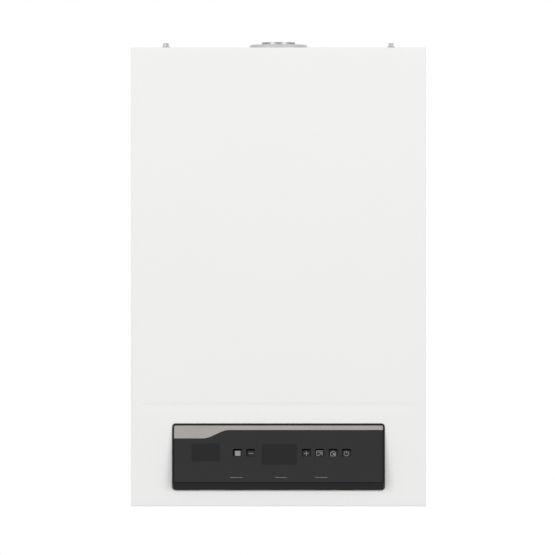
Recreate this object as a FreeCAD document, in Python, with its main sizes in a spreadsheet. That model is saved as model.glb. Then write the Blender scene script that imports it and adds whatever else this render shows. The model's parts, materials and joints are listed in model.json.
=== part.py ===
"""Wall-hung fan-flued gas boiler as a parametric document, in millimetres.

The origin lies on the wall, midway between the two screws of the wall bracket.
+X is the right-hand side for a person facing the boiler, +Y points into the wall and +Z is up.
"""
import FreeCAD, Part
import math
import os

import Sketcher

# Driving dimensions, in millimetres and degrees
SIZES = {
    # Casing
    "casing_width": 450,
    "casing_height": 700,
    "casing_depth": 330,
    "hang_drop": 60,
    "sheet": 1,
    "cover_gap": 0.4,
    "cover_lap": 40,
    "cover_bend": 3,
    "groove_rise": 157,
    "groove_width": 4.5,
    "groove_depth": 0.6,
    "groove_inset": 13,
    "panel_setback": 6,
    "panel_return": 9,
    "panel_end_gap": 1,
    "frame_sheet": 1.5,
    "frame_recess": 14,
    "rail_inset": 32.6,
    "rail_flange": 14,
    "rail_length": 340,
    "rail_drop": 60,
    "base_rise": 24,
    "base_sheet": 1.2,
    "base_setback": 34,
    # Wall bracket
    "bracket_length": 340,
    "bracket_sheet": 2,
    "bracket_above": 18,
    "bracket_below": 22,
    "wall_screw_pitch": 260,
    "wall_screw_hole": 9,
    "hook_pitch": 180,
    "hook_width": 30,
    "hook_level": 10,
    "hook_lip": 8,
    "hook_gap": 0.5,
    "hook_slot": 24,
    # Flange screws
    "screw_shank": 5,
    "screw_flats": 8,
    "screw_flange": 11.8,
    "screw_flange_height": 1.4,
    "screw_head": 6.5,
    "screw_seat_gap": 0.3,
    "screw_hole_gap": 0.1,
    "cover_screw_offset": 172,
    "cover_screw_setback": 14,
    "cover_screw_length": 12,
    "cover_slot_gap": 0.5,
    "door_screw_length": 14,
    "collar_screw_length": 8,
    "collar_screw_head": 3.6,
    # Sealed chamber
    "chamber_side_gap": 17.6,
    "chamber_from_wall": 92,
    "chamber_front_gap": 30,
    "chamber_rise": 240,
    "chamber_top_gap": 11,
    "rim_width": 9,
    "seal_thickness": 4,
    "door_emboss": 6,
    "door_emboss_inset": 35,
    "door_emboss_rise": 62,
    "door_emboss_drop": 60,
    "sight_rise": 34,
    "sight_hole": 30,
    "sight_glass_width": 42,
    "sight_glass_thickness": 4,
    # Burner
    "stack_side_gap": 83,
    "stack_front_gap": 16,
    "stack_back_gap": 54,
    "tray_height": 77,
    "tray_sheet": 1.5,
    "tray_ledge_rise": 10,
    "tray_ledge": 8,
    "tray_window_rise": 12,
    "tray_window_height": 38,
    "blade_count": 13,
    "blade_margin": 8.25,
    "blade_thickness": 11,
    "blade_height": 43,
    "blade_gap": 3,
    "manifold_gap": 7,
    "manifold_depth": 24,
    "manifold_height": 20,
    "manifold_rise": 22,
    "injector_bore": 8,
    "injector_gap": 0.5,
    "electrode_ceramic": 7,
    "electrode_reach": 12,
    "electrode_inside": 22,
    "electrode_tip": 37,
    "electrode_wire": 2.4,
    "electrode_above": 12,
    "electrode_gap": 0.2,
    "spark_lead": 5,
    "spark_width": 60,
    "spark_depth": 34,
    "spark_height": 36,
    "spark_setback": 4,
    "lead_setback": 9,
    # Heat path
    "liner_thickness": 12,
    "exchanger_height": 76,
    "fin_count": 37,
    "fin_thickness": 1.2,
    "fin_inset": 2,
    "tube_count": 5,
    "tube_gap": 9.6,
    "header_thickness": 10,
    "header_height": 40,
    "hood_height": 30,
    "hood_sheet": 1,
    # Fan and flue
    "flue_from_wall": 140,
    "duct_drop": 14,
    "duct_rise": 68,
    "duct_width": 60,
    "duct_wall": 2,
    "scroll_width": 128,
    "scroll_depth": 64,
    "fan_foot": 70,
    "inlet_width": 64,
    "inlet_depth": 18,
    "inlet_wall": 2,
    "impeller_width": 108,
    "impeller_depth": 36,
    "impeller_plate": 2,
    "impeller_gap": 5,
    "impeller_blades": 24,
    "impeller_blade": 12,
    "impeller_blade_sheet": 1,
    "impeller_hub": 20,
    "fan_shaft": 8,
    "fan_shaft_reach": 22,
    "shaft_gap": 0.06,
    "fan_motor_width": 68,
    "fan_motor_depth": 44,
    "fan_motor_plate": 80,
    "fan_motor_plate_depth": 4,
    "spigot_width": 51.5,
    "spigot_wall": 1.2,
    "spigot_rise": 14.2,
    "spigot_foot_height": 2.5,
    "collar_width": 88.5,
    "collar_wall": 3,
    "collar_rise": 10.3,
    "collar_lip": 74,
    "collar_shoulder": 2,
    "collar_flange": 126,
    "collar_flange_height": 2.5,
    "collar_screw_circle": 111,
    "collar_screw_count": 4,
    "switch_width": 64,
    "switch_depth": 28,
    "switch_setback": 60,
    "nipple_drop": 48,
    "nipple_width": 5,
    "nipple_reach": 8,
    "sensing_hose": 7,
    "sensing_hose_wall": 1.2,
    "sensing_bend": 26,
    # Expansion vessel
    "vessel_rail_gap": 6,
    "vessel_depth": 72,
    "vessel_drop": 230,
    "vessel_flat": 60,
    "vessel_crown_inset": 30,
    "vessel_crown_depth": 8,
    "vessel_rim": 8,
    "vessel_shoulder": 4,
    "vessel_shoulder_depth": 6,
    "vessel_wall": 1.5,
    "vessel_port_inset": 12,
    "vessel_port": 16,
    "vessel_port_rise": 10,
    "vessel_port_length": 34,
    # Connection tails
    "tail_from_wall": 125,
    "tail_drop": 5,
    "tail_plate_gap": 1,
    "tail_hex_height": 8,
    "heating_thread": 26.4,
    "heating_hex": 30,
    "heating_neck": 22,
    "tap_water_thread": 21,
    "tap_water_hex": 24,
    "tap_water_neck": 15,
    "pipe_wall": 1,
    "tail_hole_gap": 2,
    "link_bend": 14,
    # Flow manifold and three-way valve
    "manifold_block_rise": 55,
    "manifold_block_height": 70,
    "link_run": 30,
    "manifold_block_back": 35,
    "manifold_block_front": 60,
    "manifold_block_round": 6,
    "valve_setback": 15,
    "valve_bore": 30,
    "valve_bore_depth": 57,
    "valve_disc": 26,
    "valve_disc_height": 8,
    "valve_stroke": 6,
    "spindle_width": 6,
    "spindle_length": 66,
    "actuator_width": 46,
    "actuator_height": 57,
    "actuator_plug": 18,
    # Relief valve
    "relief_rise": 35,
    "relief_setback": 15,
    "relief_body": 26,
    "relief_body_length": 22,
    "relief_stem": 6,
    "relief_stem_length": 9,
    "relief_spout": 14,
    "relief_spout_drop": 5,
    "relief_knob": 32,
    "relief_knob_length": 13,
    "relief_side_gap": 12.3,
    "knob_gap": 0.3,
    "knob_flute": 5,
    "knob_flutes": 8,
    # Plate exchanger and heating links
    "plate_reach": 75,
    "plate_side_gap": 6,
    "plate_depth": 40,
    "plate_rise": 40,
    "plate_height": 75,
    "plate_end": 3,
    "plate_inset": 1.5,
    "tap_water_level": 57,
    "heating_level": 98,
    "link_width": 16,
    # Flow sensor
    "sensor_start": 17,
    "sensor_length": 46,
    "sensor_width": 28,
    "sensor_bore": 16,
    "sensor_nose": 18,
    "sensor_nose_bore": 12,
    "sensor_plug": 14,
    "turbine_width": 14,
    "turbine_length": 14,
    "turbine_hub": 5,
    "turbine_vanes": 5,
    "turbine_vane": 1,
    "turbine_shaft": 3,
    "turbine_shaft_length": 30,
    "spider_thickness": 4,
    "spider_hub": 7,
    # Pump
    "pump_level": 110,
    "volute_side_gap": 10,
    "volute_back": 20,
    "volute_front": 25,
    "volute_side_wall": 10,
    "volute_wall": 17,
    "pump_inlet": 28,
    "pump_inlet_reach": 13,
    "pump_side_port": 24,
    "pump_side_reach": 2,
    "pump_outlet": 24,
    "pump_outlet_offset": 25,
    "pump_outlet_reach": 10,
    "vent_offset": 18,
    "vent_boss": 20,
    "vent_boss_reach": 6,
    "vent_width": 34,
    "vent_height": 44,
    "vent_cap": 12,
    "vent_cap_height": 10,
    "pump_can_inset": 10,
    "pump_can_length": 69,
    "pump_flange_inset": 2,
    "pump_flange_depth": 6,
    "pump_box_width": 60,
    "pump_box_depth": 40,
    "pump_box_reach": 14,
    "pump_wheel_side_gap": 4,
    "pump_wheel_depth": 14,
    "pump_wheel_gap": 4,
    "pump_wheel_plate": 3,
    "pump_wheel_hub": 24,
    "pump_vanes": 7,
    "pump_vane": 3,
    "pump_shaft": 10,
    "pump_shaft_reach": 40,
    # Gas line
    "gas_valve_width": 84,
    "gas_valve_back": 33,
    "gas_valve_front": 50,
    "gas_valve_rise": 95,
    "gas_valve_height": 70,
    "gas_valve_round": 6,
    "coil_width": 32,
    "coil_length": 36,
    "coil_offset": 20,
    "coil_drop": 23,
    "gas_pipe_width": 22,
    "pipe_hole_gap": 0.4,
    # Copper risers
    "riser_width": 18,
    "flow_riser_inset": 10,
    "flow_riser_setback": 13,
    "riser_bend": 20,
    "riser_entry": 29,
    "vessel_pipe_width": 10,
    "vessel_pipe_level": 130,
    # Fill valve and cable gland
    "fill_body": 24,
    "fill_body_height": 34,
    "fill_link": 8,
    "fill_link_rise": 15,
    "fill_link_gap": 0.4,
    "fill_stem": 8,
    "fill_stem_drop": 18,
    "fill_knob": 30,
    "fill_knob_length": 18,
    "fill_knob_gap": 4,
    "gland_inset": 27.6,
    "gland_from_wall": 200,
    "gland_thread": 16,
    "gland_flats": 20,
    "gland_below": 14,
    "gland_above": 6,
    "gland_bore": 8,
    "gland_hole_gap": 0.3,
    # Control panel
    "fascia_width": 322.7,
    "fascia_height": 100.6,
    "fascia_rise": 25,
    "fascia_gap": 0.7,
    "opening_return": 3,
    "fascia_corner": 4,
    "strip_height": 11,
    "strip_proud": 3,
    "nose_reach": 12,
    "panel_tilt": 7,
    "bezel_setback": 8,
    "bezel_side": 1.7,
    "bezel_head": 1.9,
    "bezel_foot": 0.4,
    "bezel_wall": 1.7,
    "bezel_skin": 3,
    "lens_thickness": 2,
    "lens_gap": 0.2,
    "trim_thickness": 0.8,
    "trim_tall": 19.8,
    "trim_thin": 6.9,
    "trim_curve_start": 43.8,
    "trim_curve_run": 40,
    "display_width": 56,
    "display_height": 32,
    "display_level": 43.7,
    "display_lip": 4,
    "board_setback": 13,
    "board_thickness": 1.6,
    "board_margin": 18,
    "board_low": 6,
    "board_post": 6,
    "board_post_inset": 6,
    "switch_cap": 6,
    "switch_cap_height": 2.7,
    "button_level": 46.4,
    "button_first": 42.4,
    "button_pitch": 20.4,
    "button_width": 12.6,
    "button_height": 11,
    "button_gap": 0.3,
    "button_recess": 1.6,
    "button_length": 4.6,
    "button_flange": 1.2,
    "button_flange_depth": 1.5,
    "button_flange_gap": 0.3,
    "button_stem": 4,
    "button_stem_length": 2,
    "housing_inset": 5.7,
    "housing_depth": 45,
    "housing_wall": 2.5,
    "housing_low": 4,
    "housing_flange": 2.5,
    "housing_flange_gap": 0.5,
    "pivot_setback": 18,
    "pivot_rise": 11,
    "pivot_pin": 6,
    "pivot_pin_reach": 12,
    "pivot_gap": 0.08,
    "pivot_bracket": 3,
    "pivot_bracket_gap": 1.3,
    "pivot_bracket_ahead": 10,
    "pivot_bracket_behind": 44,
    "pivot_bracket_above": 12,
}

document = FreeCAD.newDocument("WallBoiler")
sheet_object = document.addObject("Spreadsheet::Sheet", "Sizes")
for row, (alias, amount) in enumerate(SIZES.items(), start=1):
    sheet_object.set(f"A{row}", alias)
    sheet_object.set(f"B{row}", str(amount))
    sheet_object.setAlias(f"B{row}", alias)
document.recompute()


def formula_of(value):
    """The text that a formula uses for a size or a plain number."""
    return value.formula if isinstance(value, Dim) else f"({float(value)})"


class Dim(float):
    """A size with its number and the formula that binds it to the sheet."""

    def __new__(cls, value, formula):
        made = float.__new__(cls, value)
        made.formula = formula
        return made

    def __add__(self, other):
        return Dim(float(self) + float(other), f"({self.formula} + {formula_of(other)})")

    def __radd__(self, other):
        return Dim(float(other) + float(self), f"({formula_of(other)} + {self.formula})")

    def __sub__(self, other):
        return Dim(float(self) - float(other), f"({self.formula} - {formula_of(other)})")

    def __rsub__(self, other):
        return Dim(float(other) - float(self), f"({formula_of(other)} - {self.formula})")

    def __mul__(self, other):
        return Dim(float(self) * float(other), f"({self.formula} * {formula_of(other)})")

    def __rmul__(self, other):
        return Dim(float(other) * float(self), f"({formula_of(other)} * {self.formula})")

    def __truediv__(self, other):
        return Dim(float(self) / float(other), f"({self.formula} / {formula_of(other)})")

    def __neg__(self):
        return Dim(-float(self), f"(0 - {self.formula})")


class Sizes:
    """The driving dimensions by name, each one bound to its cell."""

    def __getattr__(self, name):
        return Dim(SIZES[name], f"Sizes.{name}")


S = Sizes()
ZERO = Dim(0, "0")
parts = []


def tangent(angle):
    return Dim(math.tan(math.radians(angle)), f"tan({angle.formula})")


def cosine(angle):
    return Dim(math.cos(math.radians(angle)), f"cos({angle.formula})")


def span(one, other):
    """Two positions along an axis, the lower one first."""
    return (one, other) if float(one) < float(other) else (other, one)


def around(middle, width):
    """The span of a width about its middle."""
    return (middle - width / 2, middle + width / 2)


def bind(thing, **formulas):
    """Bind properties of an object; double underscores stand for dots in a property path."""
    for path, value in formulas.items():
        thing.setExpression(path.replace("__", "."), formula_of(value))


def place(thing, x=ZERO, y=ZERO, z=ZERO):
    bind(thing, Placement__Base__x=x, Placement__Base__y=y, Placement__Base__z=z)
    return thing


def block(x, y, z):
    """A box between two positions on each axis."""
    made = document.addObject("Part::Box", "Block")
    bind(made, Length=x[1] - x[0], Width=y[1] - y[0], Height=z[1] - z[0])
    return place(made, x[0], y[0], z[0])


AXIS_TURN = {
    "x": FreeCAD.Rotation(FreeCAD.Vector(0, 1, 0), 90),
    "y": FreeCAD.Rotation(FreeCAD.Vector(1, 0, 0), -90),
    "z": FreeCAD.Rotation(),
}


def stand(thing, axis, centre, start):
    """Turn a piece drawn along Z onto an axis, through the centre in the other two axes."""
    thing.Placement = FreeCAD.Placement(FreeCAD.Vector(), AXIS_TURN[axis])
    corner = list(centre)
    corner.insert("xyz".index(axis), start)
    return place(thing, *corner)


def rod(axis, centre, ends, diameter):
    """A cylinder along an axis, between two positions on it."""
    made = document.addObject("Part::Cylinder", "Rod")
    bind(made, Radius=diameter / 2, Height=ends[1] - ends[0])
    return stand(made, axis, centre, ends[0])


def hexagon(axis, centre, ends, flats):
    """A six-sided bar along an axis, sized across its flats."""
    made = document.addObject("Part::Prism", "Hexagon")
    made.Polygon = 6
    bind(made, Circumradius=flats / math.sqrt(3), Height=ends[1] - ends[0])
    return stand(made, axis, centre, ends[0])


def fuse(*things):
    made = document.addObject("Part::MultiFuse", "Joined")
    made.Shapes = list(things)
    return made


def group(*things):
    """Separate solids kept side by side in one node."""
    made = document.addObject("Part::Compound", "Group")
    made.Links = list(things)
    return made


def cut(base, *tools):
    made = document.addObject("Part::Cut", "Cut")
    made.Base = base
    made.Tool = tools[0] if len(tools) == 1 else fuse(*tools)
    return made


def common(one, other):
    made = document.addObject("Part::Common", "Common")
    made.Base = one
    made.Tool = other
    return made


def rounded(thing, radius, chosen):
    """Round the edges of a solid that a rule picks out."""
    document.recompute()
    made = document.addObject("Part::Fillet", "Rounded")
    made.Base = thing
    numbers = [n for n, edge in enumerate(thing.Shape.Edges, start=1) if chosen(edge)]
    made.Edges = [(n, float(radius), float(radius)) for n in numbers]
    return made


def runs_along(axis):
    """A rule that picks the straight edges along one axis."""
    direction = FreeCAD.Vector(*[float(axis == name) for name in "xyz"])
    return lambda edge: edge.tangentAt(edge.FirstParameter).cross(direction).Length < 1e-6


def frame_of(outer, inner):
    """A frame of one box with another one taken out of it."""
    return cut(block(*outer), block(*inner))


def outline(body, plane, points, offset=ZERO):
    """A closed sketch of straight sides whose corners are all bound to the sheet."""
    made = body.newObject("Sketcher::SketchObject", "Outline")
    support = [feature for feature in body.Origin.OriginFeatures if feature.Role == plane + "_Plane"][0]
    made.AttachmentSupport = [(support, "")]
    made.MapMode = "FlatFace"
    bind(made, AttachmentOffset__Base__z=offset)
    corners = [FreeCAD.Vector(float(x), float(y), 0) for x, y in points]
    for start, end in zip(corners, corners[1:] + corners[:1]):
        made.addGeometry(Part.LineSegment(start, end), False)
    for number, (x, y) in enumerate(points):
        before = (number - 1) % len(points)
        made.addConstraint(Sketcher.Constraint("Coincident", before, 2, number, 1))
        for kind, value in (("DistanceX", x), ("DistanceY", y)):
            added = made.addConstraint(Sketcher.Constraint(kind, -1, 1, number, 1, float(value)))
            made.renameConstraint(added, f"{kind}{number}")
            made.setExpression(f"Constraints.{kind}{number}", formula_of(value))
    return made


def turned(plane, axis, points):
    """A turned body: an outline revolved once about the sketch's own axis."""
    body = document.addObject("PartDesign::Body", "Turned")
    sketch = outline(body, plane, points)
    revolution = body.newObject("PartDesign::Revolution", "Revolution")
    revolution.Profile = sketch
    revolution.ReferenceAxis = (sketch, [axis])
    revolution.Angle = 360
    return body


def extruded(plane, points, ends):
    """A body of one outline pushed along the normal of its plane, between two positions."""
    body = document.addObject("PartDesign::Body", "Extruded")
    offset = -ends[1] if plane == "XZ" else ends[0]
    pad = body.newObject("PartDesign::Pad", "Pad")
    pad.Profile = outline(body, plane, points, offset)
    bind(pad, Length=ends[1] - ends[0])
    return body


def ribbed(body, plane, points, start, length, count):
    """Add a rib to a turned body and repeat it around the normal of its plane."""
    document.recompute()
    sketch = outline(body, plane, points, start)
    rib = body.newObject("PartDesign::Pad", "Rib")
    rib.Profile = sketch
    bind(rib, Length=length)
    document.recompute()
    pattern = body.newObject("PartDesign::PolarPattern", "Pattern")
    pattern.Originals = [rib]
    pattern.Axis = (sketch, ["N_Axis"])
    pattern.Angle = 360
    bind(pattern, Occurrences=count)
    body.Tip = pattern
    return body


def rectangle(x, y):
    return [(x[0], y[0]), (x[1], y[0]), (x[1], y[1]), (x[0], y[1])]


def route(points, bend):
    """A wire of straight runs between points, with an arc of the bend radius at each corner."""
    corners = [FreeCAD.Vector(*[float(value) for value in point]) for point in points]
    edges = []
    start = corners[0]
    for before, corner, after in zip(corners, corners[1:], corners[2:]):
        inward = (before - corner).normalize()
        outward = (after - corner).normalize()
        reach = float(bend) / math.tan(inward.getAngle(outward) / 2)
        arc_start = corner + inward * reach
        arc_end = corner + outward * reach
        centre = corner + (inward + outward).normalize() * math.hypot(reach, float(bend))
        middle = centre + (corner - centre).normalize() * float(bend)
        edges.append(Part.LineSegment(start, arc_start).toShape())
        edges.append(Part.Arc(arc_start, middle, arc_end).toShape())
        start = arc_end
    edges.append(Part.LineSegment(start, corners[-1]).toShape())
    return Part.Wire(edges)


def bent_pipe(points, bend, width, wall):
    """A bent tube along a route of straight runs and arcs."""
    path = route(points, bend)
    heading = path.Edges[0].tangentAt(path.Edges[0].FirstParameter)
    skins = []
    for radius in (float(width) / 2, float(width) / 2 - float(wall)):
        ring = Part.Wire(Part.Circle(path.Edges[0].Vertexes[0].Point, heading, radius).toShape())
        skins.append(path.makePipeShell([ring], True, False))
    made = document.addObject("Part::Feature", "Pipe")
    made.Shape = skins[0].cut(skins[1])
    return made


def node(label, thing):
    """Name a finished sub-part and keep it for the export."""
    thing.Label = label
    parts.append(thing)
    return thing


# Tail pitches between the middle and the manifold's outer face
BLOCK_FACE_PITCHES = 2.5

# Shared planes and levels
half = S.casing_width / 2
top = S.hang_drop
floor = S.hang_drop - S.casing_height
front = -S.casing_depth
panel_out = half - S.sheet - S.cover_gap
panel_in = panel_out - S.sheet
panel_front = front + S.sheet + S.panel_setback
lid_top = top - S.sheet - S.cover_gap
lid_low = lid_top - S.sheet
web_front = -S.frame_recess
rail_x = panel_in - S.rail_inset
base_low = floor + S.base_rise
base_top = base_low + S.base_sheet
base_front = front + S.base_setback

chamber_half = panel_in - S.chamber_side_gap
chamber_back = -S.chamber_from_wall
chamber_front = front + S.chamber_front_gap
chamber_low = floor + S.chamber_rise
chamber_high = lid_low - S.chamber_top_gap
rim_half = chamber_half + S.rim_width
seal_front = chamber_front - S.seal_thickness
door_front = seal_front - S.sheet

stack_half = chamber_half - S.stack_side_gap
stack_front = chamber_front + S.stack_front_gap
stack_back = chamber_back - S.stack_back_gap
tray_low = chamber_low + S.sheet
tray_high = tray_low + S.tray_height
blade_low = tray_low + S.tray_ledge_rise
electrode_level = blade_low + S.blade_height + S.electrode_above
duct_top = chamber_high - S.duct_drop
fan_level = duct_top - S.duct_rise
hood_top = fan_level - S.fan_foot
exchanger_top = hood_top - S.hood_height
exchanger_low = exchanger_top - S.exchanger_height
exchanger_middle = exchanger_low + S.exchanger_height / 2
header_out = stack_half + S.header_thickness
riser_entry = stack_back - S.riser_entry

flue_y = -S.flue_from_wall
fan_x = S.duct_width / 2 - S.scroll_width / 2
scroll_front = flue_y - S.scroll_depth / 2
scroll_back = flue_y + S.scroll_depth / 2
hose_level = duct_top - S.nipple_drop / 2
switch_y = flue_y - S.switch_setback

tail_y = -S.tail_from_wall
tail_low = floor - S.tail_drop
relief_reach = S.relief_body_length + S.knob_gap + S.relief_knob_length
tail_pitch = (panel_in - S.relief_side_gap - relief_reach) / BLOCK_FACE_PITCHES
flow_x = -tail_pitch * 2
tap_x = tail_pitch
return_x = tail_pitch * 2
plate_back = tail_y - S.plate_reach
block_low = floor + S.manifold_block_rise
block_high = block_low + S.manifold_block_height
block_left = -tail_pitch * BLOCK_FACE_PITCHES
block_right = -tap_x - S.link_run
valve_y = tail_y - S.valve_setback
flow_riser_x = block_left + S.flow_riser_inset
flow_riser_y = tail_y + S.flow_riser_setback
pump_level = floor + S.pump_level
volute_half = tail_pitch - S.link_width / 2 - S.volute_side_gap
volute_back = tail_y + S.volute_back
volute_front = tail_y - S.volute_front
pump_can_half = volute_half - S.pump_can_inset
pump_inlet_low = pump_level - volute_half - S.pump_inlet_reach
pump_side_x = return_x - volute_half - S.pump_side_reach
pump_outlet_top = pump_level + volute_half + S.pump_outlet_reach
return_riser_x = return_x + S.pump_outlet_offset
gas_low = floor + S.gas_valve_rise
gas_high = gas_low + S.gas_valve_height
fill_x = (tap_x + return_x) / 2
tap_level = floor + S.tap_water_level
heating_level = floor + S.heating_level
sensor_back = tail_y - S.sensor_start
sensor_front = sensor_back - S.sensor_length

fascia_low = floor + S.fascia_rise
fascia_high = fascia_low + S.fascia_height
fascia_half = S.fascia_width / 2
bezel_back = front + S.bezel_setback
panel_height = (S.fascia_height - S.strip_height) / cosine(S.panel_tilt)
pivot_y = front + S.pivot_setback
pivot_z = fascia_low + S.pivot_rise
button_places = [-S.button_first - S.button_pitch, -S.button_first]
button_places += [S.button_first + S.button_pitch * step for step in range(4)]


def flange_screw(axis, outward, centre, seat, height, length):
    """A hexagon flange screw: its head stands outward from the seat and its shank goes inward."""
    head = hexagon(axis, centre, span(seat, seat + height * outward), S.screw_flats)
    flange = rod(axis, centre, span(seat, seat + S.screw_flange_height * outward), S.screw_flange)
    shank = rod(axis, centre, span(seat, seat - length * outward), S.screw_shank)
    return fuse(head, flange, shank)


def door_screw_places():
    """The places of the door screws on the chamber's rim: three down each side, one above and below."""
    side = chamber_half + S.rim_width / 2
    middle = (chamber_low + chamber_high) / 2
    reach = (chamber_high - chamber_low) / 2 - S.rim_width * 3
    places = [(side * hand, middle + reach * step) for hand in (-1, 1) for step in (-1, 0, 1)]
    places.append((ZERO, chamber_low - S.rim_width / 2))
    places.append((ZERO, chamber_high + S.rim_width / 2))
    return places


def collar_screw_places():
    """The places of the flue collar's screws on their circle."""
    places = []
    for step in range(SIZES["collar_screw_count"]):
        turn = 2 * math.pi * (step + 0.5) / SIZES["collar_screw_count"]
        radius = S.collar_screw_circle / 2
        places.append((radius * math.cos(turn), flue_y + radius * math.sin(turn)))
    return places


screw_hole = S.screw_shank + S.screw_hole_gap * 2
cover_screw_y = front + S.cover_screw_setback
cover_screw_places = [(S.cover_screw_offset * hand, cover_screw_y) for hand in (-1, 1)]
collar_seat = lid_top + S.collar_flange_height


def make_screws():
    cover_seat = top + S.screw_seat_gap
    screws = [flange_screw("z", 1, at, cover_seat, S.screw_head, S.cover_screw_length)
              for at in cover_screw_places]
    screws += [flange_screw("z", 1, at, collar_seat, S.collar_screw_head, S.collar_screw_length)
               for at in collar_screw_places()]
    screws += [flange_screw("y", -1, at, door_front, S.screw_head, S.door_screw_length)
               for at in door_screw_places()]
    node("flange_screws", group(*screws))


def make_wall_bracket():
    plate_y = (-S.bracket_sheet, ZERO)
    pieces = [block(around(ZERO, S.bracket_length), plate_y, (-S.bracket_below, S.bracket_above))]
    lip_back = web_front - S.hook_gap
    lip_front = lip_back - S.bracket_sheet
    hook_low = S.hook_level - S.bracket_sheet
    for hand in (-1, 1):
        hook_x = around(S.hook_pitch / 2 * hand, S.hook_width)
        pieces.append(block(hook_x, (lip_front, -S.bracket_sheet), (hook_low, S.hook_level)))
        pieces.append(block(hook_x, (lip_front, lip_back), (hook_low, S.hook_level + S.hook_lip)))
    screw_x = S.wall_screw_pitch / 2
    holes = [rod("y", (screw_x * hand, ZERO), plate_y, S.wall_screw_hole) for hand in (-1, 1)]
    node("wall_bracket", cut(fuse(*pieces), *holes))


def make_rear_frame():
    """A tray open to the wall, with two hook slots and two rails that carry the sealed chamber."""
    wall = S.frame_sheet
    outer = (span(-panel_in, panel_in), (web_front, ZERO), (base_low, lid_low))
    inner_x = span(wall - panel_in, panel_in - wall)
    inner = (inner_x, (web_front + wall, ZERO), (base_low + wall, lid_low - wall))
    slots = []
    pieces = []
    rail_z = (top - S.rail_drop - S.rail_length, top - S.rail_drop)
    flange_y = (chamber_back, chamber_back + wall)
    for hand in (-1, 1):
        slot_x = around(S.hook_pitch / 2 * hand, S.hook_width + S.hook_gap * 2)
        slots.append(block(slot_x, (web_front, web_front + wall), (S.hook_level - S.hook_slot, S.hook_level)))
        rail_out = (rail_x + wall) * hand
        pieces.append(block(span(rail_x * hand, rail_out), (chamber_back, web_front), rail_z))
        flange_x = span((rail_x - S.rail_flange) * hand, rail_out)
        pieces.append(block(flange_x, flange_y, rail_z))
    tray = cut(cut(block(*outer), block(*inner)), *slots)
    node("rear_frame", fuse(tray, *pieces))


def make_side_panel(label, hand):
    """A side sheet with a narrow return along its front edge, folded from one strip."""
    fold = panel_front + S.sheet
    lip = panel_out - S.panel_return
    points = [(panel_out, ZERO), (panel_out, panel_front), (lip, panel_front), (lip, fold)]
    points += [(panel_in, fold), (panel_in, ZERO)]
    points = [(x * hand, y) for x, y in points]
    node(label, extruded("XY", points, (floor + S.sheet + S.cover_gap + S.panel_end_gap, lid_low)))


def make_top_panel():
    panel = block(span(-panel_in, panel_in), (panel_front, ZERO), (lid_low, lid_top))
    holes = [rod("z", (ZERO, flue_y), (lid_low, lid_top), S.collar_width + S.cover_gap * 2)]
    screw_places = cover_screw_places + collar_screw_places()
    holes += [rod("z", at, (lid_low, lid_top), screw_hole) for at in screw_places]
    node("top_panel", cut(panel, *holes))


def make_bottom_plate():
    """The floor of the boiler with its pipe holes and the two ears that the control box turns on."""
    level = (base_low, base_top)
    plate = block(span(-panel_in, panel_in), (base_front, web_front), level)
    holes = []
    for step in (-2, -1, 0, 1, 2):
        neck = S.tap_water_neck if step in (-1, 1) else S.heating_neck
        holes.append(rod("z", (tail_pitch * step, tail_y), level, neck + S.tail_hole_gap * 2))
    spout_x = block_left - S.relief_body_length / 2
    holes.append(rod("z", (spout_x, relief_y), level, S.relief_spout + S.pipe_hole_gap * 2))
    holes.append(rod("z", (fill_x, tail_y), level, S.fill_stem + S.pipe_hole_gap * 2))
    holes.append(rod("z", gland_place, level, S.gland_thread + S.gland_hole_gap * 2))
    ears = []
    for hand in (-1, 1):
        ear_in = fascia_half + S.pivot_bracket_gap
        ear_x = span(ear_in * hand, (ear_in + S.pivot_bracket) * hand)
        ear_y = (pivot_y - S.pivot_bracket_ahead, pivot_y + S.pivot_bracket_behind)
        ear = block(ear_x, ear_y, (base_low, pivot_z + S.pivot_bracket_above))
        ears.append(cut(ear, rod("x", (pivot_y, pivot_z), ear_x, S.pivot_pin + S.pivot_gap * 2)))
    node("bottom_plate", fuse(cut(plate, *holes), *ears))


def make_front_cover():
    """A folded pan with a stamped groove, a lipped control opening and two rear-open screw slots."""
    back = front + S.cover_lap
    skin = S.sheet
    pan = block(span(-half, half), (front, back), (floor, top))
    pan = rounded(pan, S.cover_bend, lambda edge: edge.CenterOfMass.y < float(back) - 0.01)
    hollow = block(span(skin - half, half - skin), (front + skin, back), (floor + skin, top - skin))
    hollow = rounded(hollow, S.cover_bend - skin, lambda edge: edge.CenterOfMass.y < float(back) - 0.01)
    groove_z = around(floor + S.groove_rise, S.groove_width)
    groove_x = span(S.groove_inset - half, half - S.groove_inset)
    groove = block(groove_x, (front, front + S.groove_depth), groove_z)
    gap = S.fascia_gap
    opening_y = (front, front + S.opening_return)
    edges = []
    for reach in (gap, gap + skin):
        edge_x = span(-fascia_half - reach, fascia_half + reach)
        edge = block(edge_x, opening_y, (fascia_low - reach, fascia_high + reach))
        edges.append(rounded(edge, S.fascia_corner + reach, runs_along("y")))
    opening, lip = edges
    slots = []
    for at in cover_screw_places:
        slot_x = around(at[0], S.screw_shank + S.cover_slot_gap * 2)
        slot_y = (cover_screw_y - S.screw_shank / 2 - S.cover_slot_gap, back)
        slots.append(block(slot_x, slot_y, (top - skin, top)))
    node("front_cover", cut(fuse(cut(pan, hollow), lip), groove, opening, *slots))


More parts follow.
